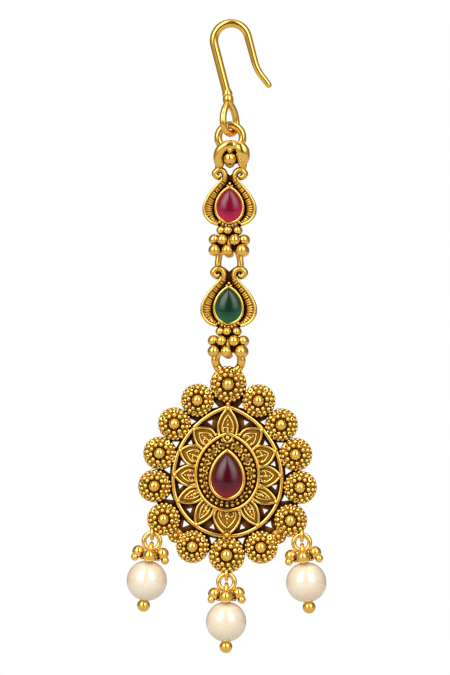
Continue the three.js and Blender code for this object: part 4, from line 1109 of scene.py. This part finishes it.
# Trim on the rim: a fork of wire below its tip, as (across, back, up, radius), a bead on the tip
# and a small ring at the bottom.
rimTrim = {
    "fork": [(0, 0, -0.1, 0.2), (0.3, 0.02, -0.7, 0.2), (0.72, 0.05, -1.35, 0.12)],
    "bead": 0.34, "beadForward": 0.1, "ring": 0.46, "ringWire": 0.17, "ringForward": 0.12, "ringUp": 0.35,
}


def rimShells(add):
    s, m = rimTrim, medallionSizes
    tip = pearGrow(m["rim"], m["rimWidth"] / 2)[1]
    radii = [radius for _, _, _, radius in s["fork"]]
    add(wires([([at(side * x, m["rimFront"] + y, tip + z) for x, y, z, _ in s["fork"]], radii, False)
               for side in (-1, 1)], "polished"))
    add(ball(at(0, m["rimFront"] - s["beadForward"], tip + 0.1), s["bead"], 14), "polished")
    bottom = at(0, m["rimFront"] - s["ringForward"], s["ringUp"] - m["rim"][2])
    add(ringWire(bottom, s["ring"], s["ringWire"], segments=24, sides=8), "polished")


def dropShells(places, add):
    s = medallionSizes
    sideX, sideZ, _ = [place for place in places if place[0] > 0][s["sideDropRosette"]]
    _, bottomZ, bottomRadius = places[-1]
    bails = [at(side * s["dropReach"], 0, sideZ - s["sideDropDown"]) for side in (-1, 1)]
    bails.insert(1, at(0, 0, bottomZ - bottomRadius - s["middleDropDown"]))
    for bail in bails:
        add(ringWire(bail, s["dropBailRadius"], s["dropBailWire"], "side", 30, 12), "polished")
    out, deep, up = s["dropRoot"]
    for side in (-1, 1):
        root = at(side * (sideX + out), deep, sideZ + up)
        end = at(side * s["dropReach"], 0, bails[2][2] + s["dropBailRadius"])
        add(tube([root, end], s["dropRootWire"] * s["dropBailWire"], 12, flatEnds=True), "polished")


def medallionLoop(height):  # its legs step back into the top rosette
    s = medallionSizes
    points = []
    for turn in range(-s["loopReach"], 181 + s["loopReach"], 5):
        across, up = math.cos(math.radians(turn)), math.sin(math.radians(turn))
        w = min(max((-up - s["loopStepFrom"]) / s["loopStepOver"], 0), 1)
        back = s["loopStep"] * w * w * (3 - 2 * w)
        points.append(at(s["loopRadius"] * across, back, height + s["loopRadius"] * up))
    return points


def makeMedallion():
    s = medallionSizes
    shells, add = gathered()
    places = rosettePlaces()
    outline = pearLoop(s["rosettePath"], 60, s["rosettePathHeight"])
    add(plate([outline, *piercings(places)], s["back"] - backStep, s["plateFront"], 0.06), "patina")
    rosetteShells(places, add)
    petalShells(add)
    add(tube(medallionLoop(places[0][1] + s["loopDrop"]), s["loopWire"], 22), "polished")
    half = s["rimWidth"] / 2
    rim = bezelProfile(s["rimBack"], s["rimFront"], s["rimLip"])
    add(pearBand(s["rim"], half, half, 70, rim), "polished")
    floor = pearLoop(s["innerRing"], 40, s["innerRingHeight"])
    add(plate([floor], s["floorBack"], s["floorFront"]), "antique")
    half = s["innerRingWidth"] / 2
    ring = bezelProfile(s["innerRingBack"], s["innerRingFront"], s["bezelLip"])
    add(pearBand(s["innerRing"], half, half, 50, ring, s["innerRingHeight"]), "polished")
    ringRelief(add)
    bezel = bezelProfile(s["bezelBack"], s["bezelFront"], s["bezelLip"])
    add(pearBand(s["stone"], s["stoneOverlap"], s["bezelWall"], 50, bezel), "polished")
    rimShells(add)
    dropShells(places, add)
    height = stoneHeight("medallion_stone", s["stone"][2])
    finishPiece("medallionFrame", shells, "pendant", "medallion_frame", "antique_gold",
                place=at(0, 0, height))
    cabochon("medallionStone", "medallion_stone", s["stone"], height, s, "garnet", "pendant", "red_stone")


makeMedallion()
print("medallion ready")

# Pearl drops.

dropSizes = {
    "ringRadius": 1.28, "ringWire": 0.4, "ringCut": {"left": 118, "middle": 64, "right": 58},
    "pearl": 3.23, "drill": 0.45, "pinWire": 0.33, "pinBall": 1.03, "loopRadius": 0.9, "loopHeight": 5.1,
    "collar": 1.4, "collarHeight": 0.5, "collarGap": 0.12, "collarDrill": 0.45, "capBall": 1.0,
    "lace": 18, "laceReach": 1.42, "laceUp": 0.16, "laceGrain": 0.2,
}
capBalls = [  # across, forward and up as shares of the pearl, radius as a share of the ball
    (0, 0.61, 1.26, 1), (0, -0.61, 1.26, 1), (-0.6, 0, 1.38, 1), (0.6, 0, 1.42, 1),
    (-0.74, 0.1, 1.09, 0.6), (0.77, 0.1, 1.1, 0.64),
]


def upright(profile, sides):  # a closed profile of (reach, height) turned about Z
    return skin([[at(reach * math.cos(t), reach * math.sin(t), height) for reach, height in profile]
                 for t in fullTurn(sides)], True)


def pearlShell():
    s = dropSizes
    start = math.asin(s["drill"] / s["pearl"])
    turns = np.linspace(start, math.pi - start, 34)
    return upright([(s["pearl"] * math.sin(t), s["pearl"] * math.cos(t)) for t in turns], 48)


def pinShells(add):
    s = dropSizes
    foot = at(0, 0, -(s["pearl"] + 0.75 * s["pinBall"]))
    add(tube([foot, at(0, 0, s["loopHeight"] - s["loopRadius"])], s["pinWire"], 14), "polished")
    add(ball(foot, s["pinBall"], 30), "polished")
    add(ringWire(at(0, 0, s["loopHeight"]), s["loopRadius"], s["pinWire"], "side", 36), "polished")


def capShells(add):
    s = dropSizes
    drill, edge, bottom = s["collarDrill"], s["collar"], s["pearl"] + s["collarGap"]
    top = bottom + s["collarHeight"]
    collar = [(drill, bottom), (edge - 0.08, bottom), (edge, bottom + 0.08), (edge, top - 0.1),
              (edge - 0.12, top), (drill, top)]
    add(upright(collar, 40), "antique")
    for across, forward, up, radius in capBalls:
        add(ball(at(across, -forward, up) * s["pearl"], radius * s["capBall"], 28), "polished")
    reach = s["laceReach"]
    lace = [(at(reach * math.cos(t), reach * math.sin(t), bottom + s["laceUp"]), s["laceGrain"])
            for t in fullTurn(s["lace"])]
    add(grains(lace, "antique", 8, 6))


def makeDrop(side, body):
    s = dropSizes
    ringPlace, pearlPlace = [boxMiddle(f"{side}_drop_{part}") for part in ("ring", "pearl")]
    pearlPlace[1] = 0
    lean = ringPlace - pearlPlace
    tilt = math.degrees(math.atan2(lean[0], lean[2]))
    ring = ringWire(ringPlace, s["ringRadius"], s["ringWire"], cutAt=s["ringCut"][side])
    finishPiece(f"{side}DropRing", [(*ring, "polished")], body, f"{side}_drop_ring", "polished_gold")
    pin, addPin = gathered()
    cap, addCap = gathered()
    pinShells(addPin)
    capShells(addCap)
    for part, shells, slotName in (("Pin", pin, "polished_gold"), ("Cap", cap, "polished_gold"),
                                   ("Pearl", [(*pearlShell(), "pearl")], "pearl")):
        finishPiece(f"{side}Drop{part}", shells, body, f"{side}_drop_{part.lower()}", slotName,
                    place=pearlPlace, tilt=tilt)


for side in ("left", "middle", "right"):
    makeDrop(side, "pendant")
print("drops ready")

# Camera, floor and light.

studio = {
    "lens": 400.0, "distance": 1.2, "azimuth": 3.0, "roll": 0.5, "middle": (-0.58, 0.0, -49.6),
    "floor": -0.145, "floorReach": 0.5,
}
# The light, by the angle round the object from straight in front and by height: ranges over which
# a part of it comes up or goes down, and the levels that it goes between.
lightSizes = {
    "panelInner": (0.2, 0.45), "panelOuter": (1.2, 0.55),
    "panelBottom": (-0.15, 0.4), "panelTop": (0.92, 0.75),
    "uneven": (-0.2, 0.2, 1.0, 0.75), "panelLevel": 5.0, "softLevel": 0.34,
    "behind": (1.4, 2.2, 0.12, -0.1), "above": (0.8, 1.0, 0.0, 0.9), "gap": (0.1, 0.5, 0.3, 1.0),
    "warm": (1.0, 0.76, 0.5, 1), "cool": (1.0, 0.98, 0.95, 1), "warmToCool": (0.35, 1.3),
}


def makeCamera():
    s = studio
    camera = bpy.data.objects.new("camera", bpy.data.cameras.new("camera"))
    scene.collection.objects.link(camera)
    camera.data.lens = s["lens"]
    camera.data.clip_start, camera.data.clip_end = 0.05, 20
    t = math.radians(s["azimuth"])
    target = Vector(s["middle"]) * mm
    camera.location = target + s["distance"] * Vector((math.sin(t), -math.cos(t), 0))
    turn = (target - camera.location).to_track_quat("-Z", "Y").to_matrix().to_4x4()
    camera.rotation_euler = (turn @ Matrix.Rotation(math.radians(s["roll"]), 4, "Z")).to_euler()
    scene.camera = camera


def makeFloor():
    reach = studio["floorReach"]
    ring = [(reach * math.cos(t), reach * math.sin(t), studio["floor"]) for t in fullTurn(96)]
    mesh = bpy.data.meshes.new("floor")
    mesh.from_pydata(ring, [], [tuple(range(len(ring)))])
    mesh.materials.append(floorMaterial())
    floor = bpy.data.objects.new("floor", mesh)
    scene.collection.objects.link(floor)


def makeLight():  # white behind; two broad soft panels in front with a dark gap between them
    s = lightSizes
    world = bpy.data.worlds.new("studio")
    scene.world = world
    world.use_nodes = True
    tree = world.node_tree
    tree.nodes.clear()
    way = addNode(tree, "ShaderNodeTexCoord").outputs["Generated"]
    x, y, z = addNode(tree, "ShaderNodeSeparateXYZ", [(0, way)]).outputs
    around = maths(tree, "ARCTAN2", maths(tree, "ABSOLUTE", x), times(tree, y, -1.0))
    panel = times(tree, mapRange(tree, around, *s["panelInner"]), mapRange(tree, around, *s["panelOuter"]))
    tall = times(tree, mapRange(tree, z, *s["panelBottom"]), mapRange(tree, z, *s["panelTop"]))
    uneven = mapRange(tree, x, *s["uneven"])
    boxes = times(tree, times(tree, panel, tall), times(tree, uneven, s["panelLevel"]))
    behind = mapRange(tree, around, *s["behind"])
    above = mapRange(tree, z, *s["above"])
    gap = mapRange(tree, around, *s["gap"])
    soft = times(tree, gap, maths(tree, "ADD", maths(tree, "ADD", above, behind), s["softLevel"]))
    level = maths(tree, "ADD", boxes, soft)
    tint = mixColour(tree, mapRange(tree, level, *s["warmToCool"]), s["warm"], s["cool"])
    shot = addNode(tree, "ShaderNodeLightPath").outputs["Is Camera Ray"]
    lit = addNode(tree, "ShaderNodeBackground", [("Color", tint), ("Strength", level)])
    seen = addNode(tree, "ShaderNodeBackground", [("Color", (1, 1, 1, 1)), ("Strength", 1.0)])
    mixed = addNode(tree, "ShaderNodeMixShader", [(0, shot), (1, lit.outputs[0]), (2, seen.outputs[0])])
    addNode(tree, "ShaderNodeOutputWorld", [("Surface", mixed.outputs[0])])


makeCamera()
makeFloor()
makeLight()
scene.view_settings.view_transform = "Standard"
print("studio ready")
